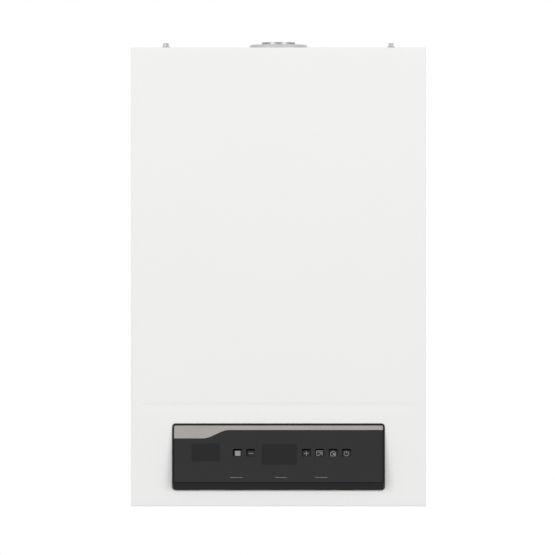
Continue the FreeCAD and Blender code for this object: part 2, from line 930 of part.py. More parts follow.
def make_chamber():
    """The sealed box with its rim, its seal, the door with an embossed field, and the sight glass."""
    skin = S.sheet
    depth = (chamber_front, chamber_back)
    box = frame_of(
        (span(-chamber_half, chamber_half), depth, (chamber_low, chamber_high)),
        (span(skin - chamber_half, chamber_half - skin), (chamber_front, chamber_back - skin),
         (chamber_low + skin, chamber_high - skin)))
    rim_x = span(-rim_half, rim_half)
    rim_z = (chamber_low - S.rim_width, chamber_high + S.rim_width)
    box_x = span(-chamber_half, chamber_half)
    box_z = (chamber_low, chamber_high)
    rim_y = (chamber_front, chamber_front + skin)
    rim = frame_of((rim_x, rim_y, rim_z), (box_x, rim_y, box_z))
    ceiling = (chamber_high - skin, chamber_high)
    ground = (chamber_low, chamber_low + skin)
    clear = S.pipe_hole_gap * 2
    holes = [rod("z", (ZERO, flue_y), ceiling, S.collar_width - S.collar_wall * 2)]
    holes.append(rod("z", (ZERO, tail_y), ground, S.gas_pipe_width + clear))
    holes.append(rod("z", (flow_riser_x, flow_riser_y), ground, S.riser_width + clear))
    holes.append(rod("z", (return_riser_x, tail_y), ground, S.riser_width + clear))
    holes += [rod("z", (x, lead_y), ground, S.spark_lead + clear) for x in lead_places]
    holes += [rod("y", at, rim_y, screw_hole) for at in door_screw_places()]
    node("chamber_box", cut(fuse(box, rim), *holes))

    seal_y = (seal_front, chamber_front)
    seal = frame_of((rim_x, seal_y, rim_z), (box_x, seal_y, box_z))
    node("chamber_seal", cut(seal, *[rod("y", at, seal_y, screw_hole) for at in door_screw_places()]))

    plate_y = (door_front, seal_front)
    field_x = span(S.door_emboss_inset - chamber_half, chamber_half - S.door_emboss_inset)
    field_z = (chamber_low + S.door_emboss_rise, chamber_high - S.door_emboss_drop)
    field = block(field_x, (door_front - S.door_emboss, seal_front), field_z)
    recess_y = (door_front - S.door_emboss + skin, seal_front)
    recess = block((field_x[0] + skin, field_x[1] - skin), recess_y, (field_z[0] + skin, field_z[1] - skin))
    sight = (ZERO, chamber_low + S.sight_rise)
    holes = [rod("y", at, plate_y, screw_hole) for at in door_screw_places()]
    holes.append(rod("y", sight, plate_y, S.sight_hole))
    node("chamber_door", cut(fuse(block(rim_x, plate_y, rim_z), field), recess, *holes))
    glass_y = (door_front - S.sight_glass_thickness, door_front)
    node("sight_glass", rod("y", sight, glass_y, S.sight_glass_width))


lead_y = chamber_front + S.lead_setback
blade_pitch = (stack_half - S.blade_margin) * 2 / S.blade_count
last_step = (SIZES["blade_count"] - 1) / 2
blade_places = [blade_pitch * (step - last_step) for step in range(SIZES["blade_count"])]
electrode_places = [blade_places[3], blade_places[4], blade_places[-4]]
lead_places = electrode_places[:2]


def make_burner():
    """The burner tray, its blades, the gas manifold with one injector a blade, and the electrodes."""
    skin = S.tray_sheet
    shell = frame_of(
        (span(-stack_half, stack_half), (stack_front, stack_back), (tray_low, tray_high)),
        (span(skin - stack_half, stack_half - skin), (stack_front + skin, stack_back - skin),
         (tray_low, tray_high)))
    window_x = span(S.liner_thickness - stack_half, stack_half - S.liner_thickness)
    window_z = (tray_low + S.tray_window_rise, tray_low + S.tray_window_rise + S.tray_window_height)
    window = block(window_x, (stack_back - skin, stack_back), window_z)
    hole_width = S.electrode_ceramic + S.electrode_gap * 2
    front_wall = (stack_front, stack_front + skin)
    holes = [rod("y", (x, electrode_level), front_wall, hole_width) for x in electrode_places]
    ledge_x = span(skin - stack_half, stack_half - skin)
    ledges = []
    for edge, inward in ((stack_front + skin, 1), (stack_back - skin, -1)):
        ledge_y = span(edge, edge + S.tray_ledge * inward)
        ledges.append(block(ledge_x, ledge_y, (blade_low - skin, blade_low)))
    node("burner_tray", fuse(cut(shell, window, *holes), *ledges))

    blade_y = (stack_front + skin + S.blade_gap, stack_back - skin - S.blade_gap)
    blade_z = (blade_low, blade_low + S.blade_height)
    blades = [block(around(x, S.blade_thickness), blade_y, blade_z) for x in blade_places]
    node("burner_blades", group(*blades))

    bar_front = stack_back + S.manifold_gap
    bar_y = (bar_front, bar_front + S.manifold_depth)
    bar_z = (tray_low + S.manifold_rise, tray_low + S.manifold_rise + S.manifold_height)
    bar_reach = blade_places[-1] + S.blade_thickness / 2
    bar = block(span(-bar_reach, bar_reach), bar_y, bar_z)
    injector_y = (blade_y[1] + S.injector_gap, bar_front)
    injector_z = (bar_z[0] + bar_z[1]) / 2
    injectors = [rod("y", (x, injector_z), injector_y, S.injector_bore) for x in blade_places]
    node("gas_manifold", fuse(bar, *injectors))
    gas_pipe = cut(*[rod("z", (ZERO, tail_y), (gas_high, bar_z[0]), width)
                     for width in (S.gas_pipe_width, S.gas_pipe_width - S.pipe_wall * 2)])
    node("gas_pipe", gas_pipe)

    electrodes = []
    ceramic_end = stack_front + S.electrode_inside
    for x in electrode_places:
        at = (x, electrode_level)
        ceramic = rod("y", at, (stack_front - S.electrode_reach, ceramic_end), S.electrode_ceramic)
        wire = rod("y", at, (ceramic_end, ceramic_end + S.electrode_tip), S.electrode_wire)
        electrodes.append(fuse(ceramic, wire))
    node("ignition_electrodes", group(*electrodes))

    spark_front = chamber_front + S.spark_setback
    spark_x = around((lead_places[0] + lead_places[1]) / 2, S.spark_width)
    spark_z = (chamber_low - S.spark_height, chamber_low)
    lead_z = (chamber_low, electrode_level - S.electrode_ceramic / 2 - S.electrode_gap)
    leads = [rod("z", (x, lead_y), lead_z, S.spark_lead) for x in lead_places]
    box = block(spark_x, (spark_front, spark_front + S.spark_depth), spark_z)
    node("spark_generator", group(box, *leads))


def make_heat_path():
    """The ceramic liner over the burner, the finned exchanger on it and the hood above them."""
    thick = S.liner_thickness
    liner_z = (tray_high, exchanger_low)
    inner_x = span(thick - stack_half, stack_half - thick)
    panels = [block(span((stack_half - thick) * hand, stack_half * hand), (stack_front, stack_back), liner_z)
              for hand in (-1, 1)]
    panels.append(block(inner_x, (stack_front, stack_front + thick), liner_z))
    panels.append(block(inner_x, (stack_back - thick, stack_back), liner_z))
    node("ceramic_liner", group(*panels))

    depth = stack_back - stack_front
    ends = [block(span(stack_half * hand, (stack_half - S.fin_inset) * hand), (stack_front, stack_back),
                  (exchanger_low, exchanger_top)) for hand in (-1, 1)]
    header_z = around(exchanger_middle, S.header_height)
    fin_z = (exchanger_low + S.fin_inset, exchanger_top - S.fin_inset)
    fin_y = (stack_front + S.fin_inset, stack_back - S.fin_inset)
    headers = [block(span(stack_half * hand, header_out * hand), fin_y, header_z) for hand in (-1, 1)]
    pitch = stack_half * 2 / (S.fin_count + 1)
    fins = [block(around(pitch * (step + 1) - stack_half, S.fin_thickness), fin_y, fin_z)
            for step in range(SIZES["fin_count"])]
    tube_pitch = depth / S.tube_count
    tube_x = span(-stack_half, stack_half)
    tube_places = [stack_front + tube_pitch * (step + 0.5) for step in range(SIZES["tube_count"])]
    tubes = [rod("x", (y, exchanger_middle), tube_x, tube_pitch - S.tube_gap) for y in tube_places]
    node("heat_exchanger", fuse(*ends, *headers, *fins, *tubes))

    skin = S.hood_sheet
    hood = frame_of(
        (span(-stack_half, stack_half), (stack_front, stack_back), (exchanger_top, hood_top)),
        (span(skin - stack_half, stack_half - skin), (stack_front + skin, stack_back - skin),
         (exchanger_top, hood_top - skin)))
    mouth = block(*inlet_span(S.inlet_wall), (hood_top - skin, hood_top))
    node("flue_hood", cut(hood, mouth))


def inlet_span(inset):
    """The plan of the fan's inlet neck, drawn in by a wall."""
    inlet_x = around(fan_x, S.inlet_width)
    inlet_y = (stack_back - S.hood_sheet - S.inlet_depth, stack_back - S.hood_sheet)
    return (inlet_x[0] + inset, inlet_x[1] - inset), (inlet_y[0] + inset, inlet_y[1] - inset)


def make_fan():
    """The scroll with its inlet neck and outlet duct, the wheel inside it and the motor in front."""
    wall = S.duct_wall
    shaft = (fan_x, fan_level)
    outlet = (ZERO, flue_y)
    nipple_x = (S.duct_width / 2 - wall, S.duct_width / 2 + S.nipple_reach)
    body = fuse(
        rod("y", shaft, (scroll_front, scroll_back), S.scroll_width),
        rod("z", outlet, (fan_level, duct_top), S.duct_width),
        block(*inlet_span(ZERO), (hood_top, fan_level)),
        rod("x", (flue_y, hose_level), nipple_x, S.nipple_width))
    hollow = fuse(
        rod("y", shaft, (scroll_front + wall, scroll_back - wall), S.scroll_width - wall * 2),
        rod("z", outlet, (fan_level, duct_top), S.duct_width - wall * 2),
        block(*inlet_span(S.inlet_wall), (hood_top, fan_level)))
    shaft_hole = S.fan_shaft + S.shaft_gap * 2
    node("fan_housing", cut(body, hollow, rod("y", shaft, (scroll_front, scroll_front + wall), shaft_hole)))

    motor_back = scroll_front - S.fan_motor_plate_depth
    motor = fuse(
        rod("y", shaft, (motor_back, scroll_front), S.fan_motor_plate),
        rod("y", shaft, (motor_back - S.fan_motor_depth, motor_back), S.fan_motor_width))
    reach = S.fan_shaft_reach + S.knob_gap
    node("fan_motor", cut(motor, rod("y", shaft, (scroll_front - reach, scroll_front), shaft_hole)))

    disc_front = scroll_front + wall + S.impeller_gap
    disc_back = disc_front + S.impeller_plate
    hub_back = disc_back + S.impeller_depth / 2
    tip = S.impeller_width / 2
    wheel = turned("XY", "V_Axis", [
        (ZERO, scroll_front - S.fan_shaft_reach), (S.fan_shaft / 2, scroll_front - S.fan_shaft_reach),
        (S.fan_shaft / 2, disc_front), (tip, disc_front), (tip, disc_back),
        (S.impeller_hub / 2, disc_back), (S.impeller_hub / 2, hub_back), (ZERO, hub_back)])
    blade_x = (tip - S.impeller_blade, tip - S.impeller_blade_sheet)
    blade = rectangle(blade_x, around(ZERO, S.impeller_blade_sheet))
    blade_start = -disc_front - S.impeller_depth
    wheel = ribbed(wheel, "XZ", blade, blade_start, S.impeller_depth, S.impeller_blades)
    node("fan_impeller", place(wheel, x=fan_x, z=fan_level))


def make_flue():
    """The exhaust spigot, the air collar around it, the air pressure switch and its hose."""
    outlet = (ZERO, flue_y)
    spigot_top = top + S.spigot_rise
    spigot_foot = rod("z", outlet, (duct_top, duct_top + S.spigot_foot_height), S.duct_width)
    spigot = fuse(rod("z", outlet, (duct_top, spigot_top), S.spigot_width), spigot_foot)
    spigot_bore = rod("z", outlet, (duct_top, spigot_top), S.spigot_width - S.spigot_wall * 2)
    node("flue_spigot", cut(spigot, spigot_bore))

    outside = S.collar_width / 2
    inside = outside - S.collar_wall
    crown = top + S.collar_rise
    lip = S.collar_lip / 2
    shoulder = S.collar_shoulder
    collar = turned("XZ", "V_Axis", [
        (inside, chamber_high), (outside, chamber_high), (outside, lid_top), (S.collar_flange / 2, lid_top),
        (S.collar_flange / 2, collar_seat), (outside, collar_seat), (outside, crown), (lip, crown),
        (lip, crown - S.collar_wall), (inside, crown - S.collar_wall)])
    document.recompute()
    turned_shape = collar.Tip

    def on_shoulder(edge):
        return edge.Closed and abs(edge.CenterOfMass.z - crown) < 0.01 and edge.Curve.Radius > outside - 0.01

    names = [f"Edge{n}" for n, edge in enumerate(collar.Shape.Edges, start=1) if on_shoulder(edge)]
    round_over = collar.newObject("PartDesign::Fillet", "Shoulder")
    round_over.Base = (turned_shape, names)
    bind(round_over, Radius=shoulder)
    holes = [rod("z", at, (lid_top, collar_seat), screw_hole) for at in collar_screw_places()]
    node("flue_collar", cut(place(collar, y=flue_y), *holes))

    wall_x = chamber_half - S.sheet
    face_x = wall_x - S.switch_depth
    body = rod("x", (switch_y, hose_level), (face_x, wall_x), S.switch_width)
    nipple = rod("x", (switch_y, hose_level), (face_x - S.nipple_reach, face_x), S.nipple_width)
    node("air_pressure_switch", fuse(body, nipple))
    start_x = S.duct_width / 2 + S.nipple_reach
    turn_x = (start_x + face_x - S.nipple_reach) / 2
    points = [(start_x, flue_y, hose_level), (turn_x, flue_y, hose_level), (turn_x, switch_y, hose_level),
              (face_x - S.nipple_reach, switch_y, hose_level)]
    node("sensing_hose", bent_pipe(points, S.sensing_bend, S.sensing_hose, S.sensing_hose_wall))


def vessel_profile(inset):
    """Half the outline of the expansion vessel from back to front, drawn in by its wall."""
    back = web_front - inset
    face = web_front - S.vessel_depth + inset
    middle = web_front - S.vessel_depth / 2
    rim = vessel_half - inset
    crown = vessel_half - S.vessel_crown_inset
    shoulder = rim - S.vessel_shoulder
    shoulder_reach = S.vessel_rim / 2 + S.vessel_shoulder_depth
    return [
        (ZERO, back), (S.vessel_flat, back), (crown, back - S.vessel_crown_depth),
        (shoulder, middle + shoulder_reach), (rim, middle + S.vessel_rim / 2),
        (rim, middle - S.vessel_rim / 2),
        (shoulder, middle - shoulder_reach), (crown, face + S.vessel_crown_depth), (S.vessel_flat, face),
        (ZERO, face)]


vessel_level = top - S.vessel_drop
vessel_half = rail_x - S.rail_flange - S.vessel_rail_gap
vessel_port_x = return_x - volute_half + S.vessel_port_inset
vessel_port_low = vessel_level - vessel_half + S.vessel_port_rise
vessel_y = web_front - S.vessel_depth / 2


def make_vessel():
    """A flat expansion vessel with a hollow inside and a port below."""
    port_z = (vessel_port_low, vessel_port_low + S.vessel_port_length)
    port_at = (vessel_port_x, vessel_y)
    shell = place(turned("XY", "V_Axis", vessel_profile(ZERO)), z=vessel_level)
    hollow = place(turned("XY", "V_Axis", vessel_profile(S.vessel_wall)), z=vessel_level)
    port = rod("z", port_at, port_z, S.vessel_port)
    bore = rod("z", port_at, port_z, S.vessel_pipe_width - S.pipe_wall * 2)
    node("expansion_vessel", cut(fuse(shell, port), hollow, bore))


relief_y = tail_y - S.relief_setback
relief_level = block_low + S.relief_rise
relief_seat = block_left - S.relief_body_length


def fluted_knob(axis_plane, axis_name, points, flute_plane, flute_start, length, radius):
    """A turned knob with grip ribs around it."""
    knob = turned(axis_plane, axis_name, points)
    rib = rectangle((radius - S.knob_flute / 2, radius + S.knob_flute / 4), around(ZERO, S.knob_flute))
    return ribbed(knob, flute_plane, rib, flute_start, length, S.knob_flutes)


def make_flow_group():
    """The brass flow manifold with the three-way valve, its actuator and the relief valve."""
    block_x = (block_left, block_right)
    block_y = (tail_y - S.manifold_block_front, tail_y + S.manifold_block_back)
    body = rounded(block(block_x, block_y, (block_low, block_high)), S.manifold_block_round, runs_along("z"))
    valve = (flow_x, valve_y)
    bore_low = block_high - S.valve_bore_depth
    node("flow_manifold", cut(body, rod("z", valve, (bore_low, block_high), S.valve_bore)))

    actuator_top = block_high + S.actuator_height
    disc_low = bore_low + S.valve_disc_height
    spindle_top = disc_low + S.spindle_length
    guide_top = spindle_top + S.valve_stroke + S.knob_gap
    plug_y = span(valve_y - S.actuator_width / 2, valve_y - S.actuator_width / 2 - S.actuator_plug / 2)
    plug = block(around(flow_x, S.actuator_plug), (plug_y[0], valve_y),
                 (actuator_top - S.actuator_plug * 2, actuator_top - S.actuator_plug))
    motor = fuse(rod("z", valve, (block_high, actuator_top), S.actuator_width), plug)
    guide = S.spindle_width + S.shaft_gap * 2
    node("three_way_actuator", cut(motor, rod("z", valve, (block_high, guide_top), guide)))
    spindle = turned("XZ", "V_Axis", [
        (ZERO, disc_low), (S.valve_disc / 2, disc_low), (S.valve_disc / 2, disc_low + S.valve_disc_height),
        (S.spindle_width / 2, disc_low + S.valve_disc_height), (S.spindle_width / 2, spindle_top),
        (ZERO, spindle_top)])
    node("valve_spindle", place(spindle, x=flow_x, y=valve_y))

    relief = (relief_y, relief_level)
    spout_x = block_left - S.relief_body_length / 2
    node("relief_valve", fuse(
        rod("x", relief, (relief_seat, block_left), S.relief_body),
        rod("x", relief, (relief_seat - S.relief_stem_length, relief_seat), S.relief_stem),
        rod("z", (spout_x, relief_y), (floor - S.relief_spout_drop, relief_level), S.relief_spout)))
    knob_in = relief_seat - S.knob_gap
    knob_out = knob_in - S.relief_knob_length
    bore_end = relief_seat - S.relief_stem_length - S.knob_gap
    bore = S.relief_stem / 2 + S.shaft_gap
    radius = S.relief_knob / 2 - S.knob_flute / 4
    points = [(knob_in, bore), (knob_in, radius), (knob_out, radius), (knob_out, ZERO)]
    points += [(bore_end, ZERO), (bore_end, bore)]
    knob = fluted_knob("XZ", "H_Axis", points, "YZ", knob_out, S.relief_knob_length, radius)
    node("relief_knob", place(knob, y=relief_y, z=relief_level))


def make_tap_water_group():
    """The plate exchanger and the flow sensor with its turbine."""
    plate_front = plate_back - S.plate_depth
    plate_half = return_x - pump_can_half - S.plate_side_gap
    plate_x = span(-plate_half, plate_half)
    plate_z = (floor + S.plate_rise, floor + S.plate_rise + S.plate_height)
    inset = S.plate_inset
    core_z = (plate_z[0] + inset, plate_z[1] - inset)
    core = block((plate_x[0] + inset, plate_x[1] - inset), (plate_front, plate_back), core_z)
    ends = [block(plate_x, (plate_front, plate_front + S.plate_end), plate_z),
            block(plate_x, (plate_back - S.plate_end, plate_back), plate_z)]
    node("plate_exchanger", fuse(core, *ends))

    line = (tap_x, tap_level)
    tube = rod("y", line, (sensor_front, sensor_back), S.sensor_width)
    nose = rod("y", line, (plate_back, sensor_front), S.sensor_nose)
    plug_z = (tap_level, tap_level + S.sensor_width / 2 + S.sensor_plug / 2)
    middle = (sensor_front + sensor_back) / 2
    plug = block(around(tap_x, S.sensor_plug), around(middle, S.sensor_plug), plug_z)
    bore = rod("y", line, (sensor_front, sensor_back), S.sensor_bore)
    nose_bore = rod("y", line, (plate_back, sensor_front), S.sensor_nose_bore)
    shell = cut(fuse(tube, nose, plug), bore, nose_bore)
    spiders = []
    for side in (-1, 1):
        spider_middle = middle + (S.turbine_shaft_length - S.spider_thickness) / 2 * side
        spider_y = around(spider_middle, S.spider_thickness)
        arm_x = around(tap_x, S.sensor_bore + S.sensor_plug / 4)
        arm = block(arm_x, spider_y, around(tap_level, S.turbine_shaft))
        arm = fuse(arm, rod("y", line, spider_y, S.spider_hub))
        spiders.append(cut(arm, rod("y", line, spider_y, S.turbine_shaft + S.shaft_gap * 2)))
    node("flow_sensor", fuse(shell, *spiders))

    ends = around(middle, S.turbine_length)
    shaft_ends = around(middle, S.turbine_shaft_length)
    rotor = turned("XY", "V_Axis", [
        (ZERO, shaft_ends[0]), (S.turbine_shaft / 2, shaft_ends[0]), (S.turbine_shaft / 2, ends[0]),
        (S.turbine_hub / 2, ends[0]), (S.turbine_hub / 2, ends[1]), (S.turbine_shaft / 2, ends[1]),
        (S.turbine_shaft / 2, shaft_ends[1]), (ZERO, shaft_ends[1])])
    vane = rectangle((S.turbine_shaft / 2, S.turbine_width / 2), around(ZERO, S.turbine_vane))
    rotor = ribbed(rotor, "XZ", vane, -ends[1], S.turbine_length, S.turbine_vanes)
    node("turbine_rotor", place(rotor, x=tap_x, z=tap_level))


def make_pump():
    """The pump's volute with its ports, the motor in front, the wheel between them and the air vent."""
    axis = (return_x, pump_level)
    vent = (return_x - S.vent_offset, tail_y)
    vent_low = pump_level + volute_half + S.vent_boss_reach
    body = fuse(
        rod("y", axis, (volute_front, volute_back), volute_half * 2),
        rod("z", (return_x, tail_y), (pump_inlet_low, pump_level), S.pump_inlet),
        rod("x", (tail_y, heating_level), (pump_side_x, return_x), S.pump_side_port),
        rod("z", (return_riser_x, tail_y), (pump_level, pump_outlet_top), S.pump_outlet),
        rod("z", vent, (pump_level, vent_low), S.vent_boss))
    cavity_back = volute_back - S.volute_wall
    cavity_half = volute_half - S.volute_side_wall
    node("pump_body", cut(body, rod("y", axis, (volute_front, cavity_back), cavity_half * 2)))

    flange_front = volute_front - S.pump_flange_depth
    can_front = flange_front - S.pump_can_length
    middle = (flange_front + can_front) / 2
    box_top = pump_level + volute_half + S.pump_box_reach
    shaft_hole = S.pump_shaft + S.shaft_gap * 2
    motor = fuse(
        rod("y", axis, (flange_front, volute_front), (volute_half - S.pump_flange_inset) * 2),
        rod("y", axis, (can_front, flange_front), pump_can_half * 2),
        block(around(return_x, S.pump_box_width), around(middle, S.pump_box_depth), (pump_level, box_top)))
    reach = S.pump_shaft_reach + S.knob_gap
    node("pump_motor", cut(motor, rod("y", axis, (volute_front - reach, volute_front), shaft_hole)))

    wheel_half = cavity_half - S.pump_wheel_side_gap
    disc_front = volute_front + S.pump_wheel_gap
    disc_back = disc_front + S.pump_wheel_plate
    wheel_back = disc_front + S.pump_wheel_depth
    wheel = turned("XY", "V_Axis", [
        (ZERO, volute_front - S.pump_shaft_reach), (S.pump_shaft / 2, volute_front - S.pump_shaft_reach),
        (S.pump_shaft / 2, disc_front), (wheel_half, disc_front), (wheel_half, disc_back),
        (S.pump_wheel_hub / 2, disc_back), (S.pump_wheel_hub / 2, wheel_back), (ZERO, wheel_back)])
    vane_x = (S.pump_wheel_hub / 2 - S.pump_vane, wheel_half - S.pump_vane)
    vane = rectangle(vane_x, around(ZERO, S.pump_vane))
    wheel = ribbed(wheel, "XZ", vane, -wheel_back, S.pump_wheel_depth, S.pump_vanes)
    node("pump_impeller", place(wheel, x=return_x, z=pump_level))

    vent_top = vent_low + S.vent_height
    node("air_vent", fuse(
        rod("z", vent, (vent_low, vent_top), S.vent_width),
        rod("z", vent, (vent_top, vent_top + S.vent_cap_height), S.vent_cap)))


def make_gas_valve():
    """The gas valve's body with its two coils."""
    body_y = (tail_y - S.gas_valve_front, tail_y + S.gas_valve_back)
    body = block(around(ZERO, S.gas_valve_width), body_y, (gas_low, gas_high))
    body = rounded(body, S.gas_valve_round, runs_along("y"))
    coil_y = (body_y[0] - S.coil_length, body_y[0])
    coil_z = gas_high - S.coil_drop
    coils = [rod("y", (S.coil_offset * hand, coil_z), coil_y, S.coil_width) for hand in (-1, 1)]
    node("gas_valve", group(body, *coils))


def tail_end(x, thread, flats, bore):
    """The threaded end of a connection tail with its union hexagon, below the bottom plate."""
    at = (x, tail_y)
    hex_top = base_low - S.tail_plate_gap
    thread_top = hex_top - S.tail_hex_height
    ends = fuse(rod("z", at, (tail_low, thread_top), thread), hexagon("z", at, (thread_top, hex_top), flats))
    return cut(ends, rod("z", at, (tail_low, hex_top), bore)), hex_top


def straight_tail(x, end):
    """A wide tail that runs straight up to the piece it feeds."""
    bore = S.heating_neck - S.pipe_wall * 2
    foot, start = tail_end(x, S.heating_thread, S.heating_hex, bore)
    neck = cut(*[rod("z", (x, tail_y), (start, end), width) for width in (S.heating_neck, bore)])
    return fuse(foot, neck)


def bent_tail(x, end_y):
    """A tap-water tail that turns forward to the plate exchanger's line."""
    foot, start = tail_end(x, S.tap_water_thread, S.tap_water_hex, S.tap_water_neck - S.pipe_wall * 2)
    points = [(x, tail_y, start), (x, tail_y, tap_level), (x, end_y, tap_level)]
    return fuse(foot, bent_pipe(points, S.link_bend, S.tap_water_neck, S.pipe_wall))


def make_pipes():
    """The five connection tails and the copper pipes between the groups."""
    node("connection_tails", group(
        straight_tail(flow_x, block_low), straight_tail(ZERO, gas_low),
        straight_tail(return_x, pump_inlet_low),
        bent_tail(-tap_x, plate_back), bent_tail(tap_x, sensor_back)))
    risers = []
    places = ((flow_riser_x, flow_riser_y, block_high, -1), (return_riser_x, tail_y, pump_outlet_top, 1))
    for x, y, start, hand in places:
        points = [(x, y, start), (x, y, exchanger_middle), (x, riser_entry, exchanger_middle),
                  (header_out * hand, riser_entry, exchanger_middle)]
        risers.append(bent_pipe(points, S.riser_bend, S.riser_width, S.pipe_wall))
    link_in = [(block_right, valve_y, heating_level), (-tap_x, valve_y, heating_level),
               (-tap_x, plate_back, heating_level)]
    link_out = [(tap_x, plate_back, heating_level), (tap_x, tail_y, heating_level),
                (pump_side_x, tail_y, heating_level)]
    links = [bent_pipe(points, S.link_bend, S.link_width, S.pipe_wall) for points in (link_in, link_out)]
    low = floor + S.vessel_pipe_level
    vessel_points = [(vessel_port_x, vessel_y, vessel_port_low), (vessel_port_x, vessel_y, low),
                     (vessel_port_x, volute_back, low)]
    vessel_pipe = bent_pipe(vessel_points, S.riser_bend, S.vessel_pipe_width, S.pipe_wall)
    node("water_pipes", group(*risers, *links, vessel_pipe))


gland_place = (panel_in - S.gland_inset, -S.gland_from_wall)


def make_fill_valve_and_gland():
    """The filling valve with the knob below the floor, and the gland for the supply cable."""
    at = (fill_x, tail_y)
    link_z = base_top + S.fill_link_rise
    link_start = tap_x + S.tap_water_neck / 2 + S.fill_link_gap
    link_x = (link_start, return_x - S.heating_neck / 2 - S.fill_link_gap)
    stem_low = base_low - S.fill_stem_drop
    node("fill_valve", fuse(
        rod("z", at, (base_top, base_top + S.fill_body_height), S.fill_body),
        rod("z", at, (stem_low, base_top), S.fill_stem),
        rod("x", (tail_y, link_z), link_x, S.fill_link)))
    knob_high = base_low - S.fill_knob_gap
    knob_low = knob_high - S.fill_knob_length
    bore = S.fill_stem / 2 + S.shaft_gap
    bore_end = stem_low - S.knob_gap
    radius = S.fill_knob / 2 - S.knob_flute / 4
    points = [(bore, knob_high), (radius, knob_high), (radius, knob_low), (ZERO, knob_low)]
    points += [(ZERO, bore_end), (bore, bore_end)]
    knob = fluted_knob("XZ", "V_Axis", points, "XY", knob_low, S.fill_knob_length, radius)
    node("fill_knob", place(knob, x=fill_x, y=tail_y))

    nuts = fuse(
        hexagon("z", gland_place, (base_low - S.gland_below, base_low), S.gland_flats),
        rod("z", gland_place, (base_low, base_top), S.gland_thread),
        hexagon("z", gland_place, (base_top, base_top + S.gland_above), S.gland_flats))
    bore = rod("z", gland_place, (base_low - S.gland_below, base_top + S.gland_above), S.gland_bore)
    node("cable_gland", cut(nuts, bore))


def on_panel(thing):
    """Lay a piece drawn upright on the tilted face of the control panel."""
    thing.Placement = FreeCAD.Placement(FreeCAD.Vector(), FreeCAD.Rotation(FreeCAD.Vector(-1, 0, 0), 1))
    bind(thing, Placement__Rotation__Angle=S.panel_tilt)
    return place(thing, y=front - S.nose_reach, z=fascia_low + S.strip_height)


# Depths behind the tilted face, and the lens field on it
lens_front = S.trim_thickness
lens_back = lens_front + S.lens_thickness
wall_back = lens_back + S.bezel_wall
lens_half = fascia_half - S.bezel_side
lens_low = S.bezel_foot
lens_high = panel_height - S.bezel_head
button_z = S.button_level
display_z = around(S.display_level, S.display_height)
board_half = fascia_half - S.board_margin
board_low = S.board_low
board_high = panel_height - S.board_low


def button_openings(depth):
    """The six openings that the buttons move in."""
    width = S.button_width + S.button_gap * 2
    height = S.button_height + S.button_gap * 2
    return [block(around(x, width), depth, around(button_z, height)) for x in button_places]


def make_fascia():
    """The black bezel, the smoked lens in it, the silver trim on the lens and the display behind it."""
    rise = S.fascia_height - S.strip_height
    nose = front - S.nose_reach
    wedge = extruded("YZ", [
        (nose + rise * tangent(S.panel_tilt), fascia_high), (nose, fascia_low + S.strip_height),
        (front - S.strip_proud, fascia_low), (bezel_back, fascia_low), (bezel_back, fascia_high)],
        span(-fascia_half, fascia_half))
    prism = block(span(-fascia_half, fascia_half), (nose, bezel_back), (fascia_low, fascia_high))
    solid = common(wedge, rounded(prism, S.fascia_corner, runs_along("y")))
    field = block(span(-lens_half, lens_half), (-S.nose_reach, lens_back), (lens_low, lens_high))
    skin = S.bezel_skin
    hollow = block(span(skin - fascia_half, fascia_half - skin), (wall_back, wall_back + S.fascia_height),
                   (skin, panel_height - skin))
    window = block(around(ZERO, S.display_width), (lens_back, wall_back), display_z)
    recess = on_panel(fuse(field, hollow, window, *button_openings((lens_back, wall_back))))
    post_x = board_half - S.board_post_inset
    posts = [rod("y", (post_x * hand, z), (wall_back, S.board_setback), S.board_post)
             for hand in (-1, 1) for z in (board_low + S.board_post_inset, board_high - S.board_post_inset)]
    node("control_bezel", fuse(cut(solid, recess), on_panel(group(*posts))))

    gap = S.lens_gap
    lens_z = (lens_low + gap, lens_high - gap)
    plate = block(span(gap - lens_half, lens_half - gap), (lens_front, lens_back), lens_z)
    node("display_lens", on_panel(cut(plate, *button_openings((lens_front, lens_back)))))
    node("fascia_trim", on_panel(trim_plate()))

    lip = S.display_lip
    module = block(around(ZERO, S.display_width + lip * 2), (wall_back, S.board_setback),
                   (display_z[0] - lip, display_z[1] + lip))
    node("display_module", on_panel(group(module)))


def trim_plate():
    """The silver trim: tall at the left, drawn down through two equal arcs to a thin band."""
    left = S.lens_gap - lens_half
    right = lens_half - S.lens_gap
    high = lens_high - S.lens_gap
    low = high - S.trim_tall
    thin = high - S.trim_thin
    start = left + S.trim_curve_start
    end = start + S.trim_curve_run
    run = float(end - start) / 2
    climb = float(thin - low) / 2
    radius = (run * run + climb * climb) / (2 * climb)
    half_turn = math.asin(run / radius) / 2
    side = radius * math.sin(half_turn)
    sag = radius * (1 - math.cos(half_turn))

    def at(x, z):
        return FreeCAD.Vector(float(x), 0, float(z))

    middle = at(start + run, low + climb)
    corners = [at(start, low), at(left, low), at(left, high), at(right, high), at(right, thin), at(end, thin)]
    edges = [Part.LineSegment(one, other).toShape() for one, other in zip(corners, corners[1:])]
    edges.append(Part.Arc(at(end, thin), at(end - side, thin - sag), middle).toShape())
    edges.append(Part.Arc(middle, at(start + side, low + sag), at(start, low)).toShape())
    made = document.addObject("Part::Feature", "Trim")
    made.Shape = Part.Face(Part.Wire(edges)).extrude(FreeCAD.Vector(0, float(S.trim_thickness), 0))
    return made


button_front = lens_front + S.button_recess


def make_button(label, x):
    """A push button: cap, retaining flange behind the bezel's wall and a stem for its switch."""
    cap_back = button_front + S.button_length
    cap = block(around(x, S.button_width), (button_front, cap_back), around(button_z, S.button_height))
    flange_y = (wall_back + S.button_flange_gap, wall_back + S.button_flange_gap + S.button_flange_depth)
    flange = block(around(x, S.button_width + S.button_flange * 2), flange_y,
                   around(button_z, S.button_height + S.button_flange * 2))
    stem = rod("y", (x, button_z), (cap_back, cap_back + S.button_stem_length), S.button_stem)
    node(label, on_panel(fuse(cap, flange, stem)))


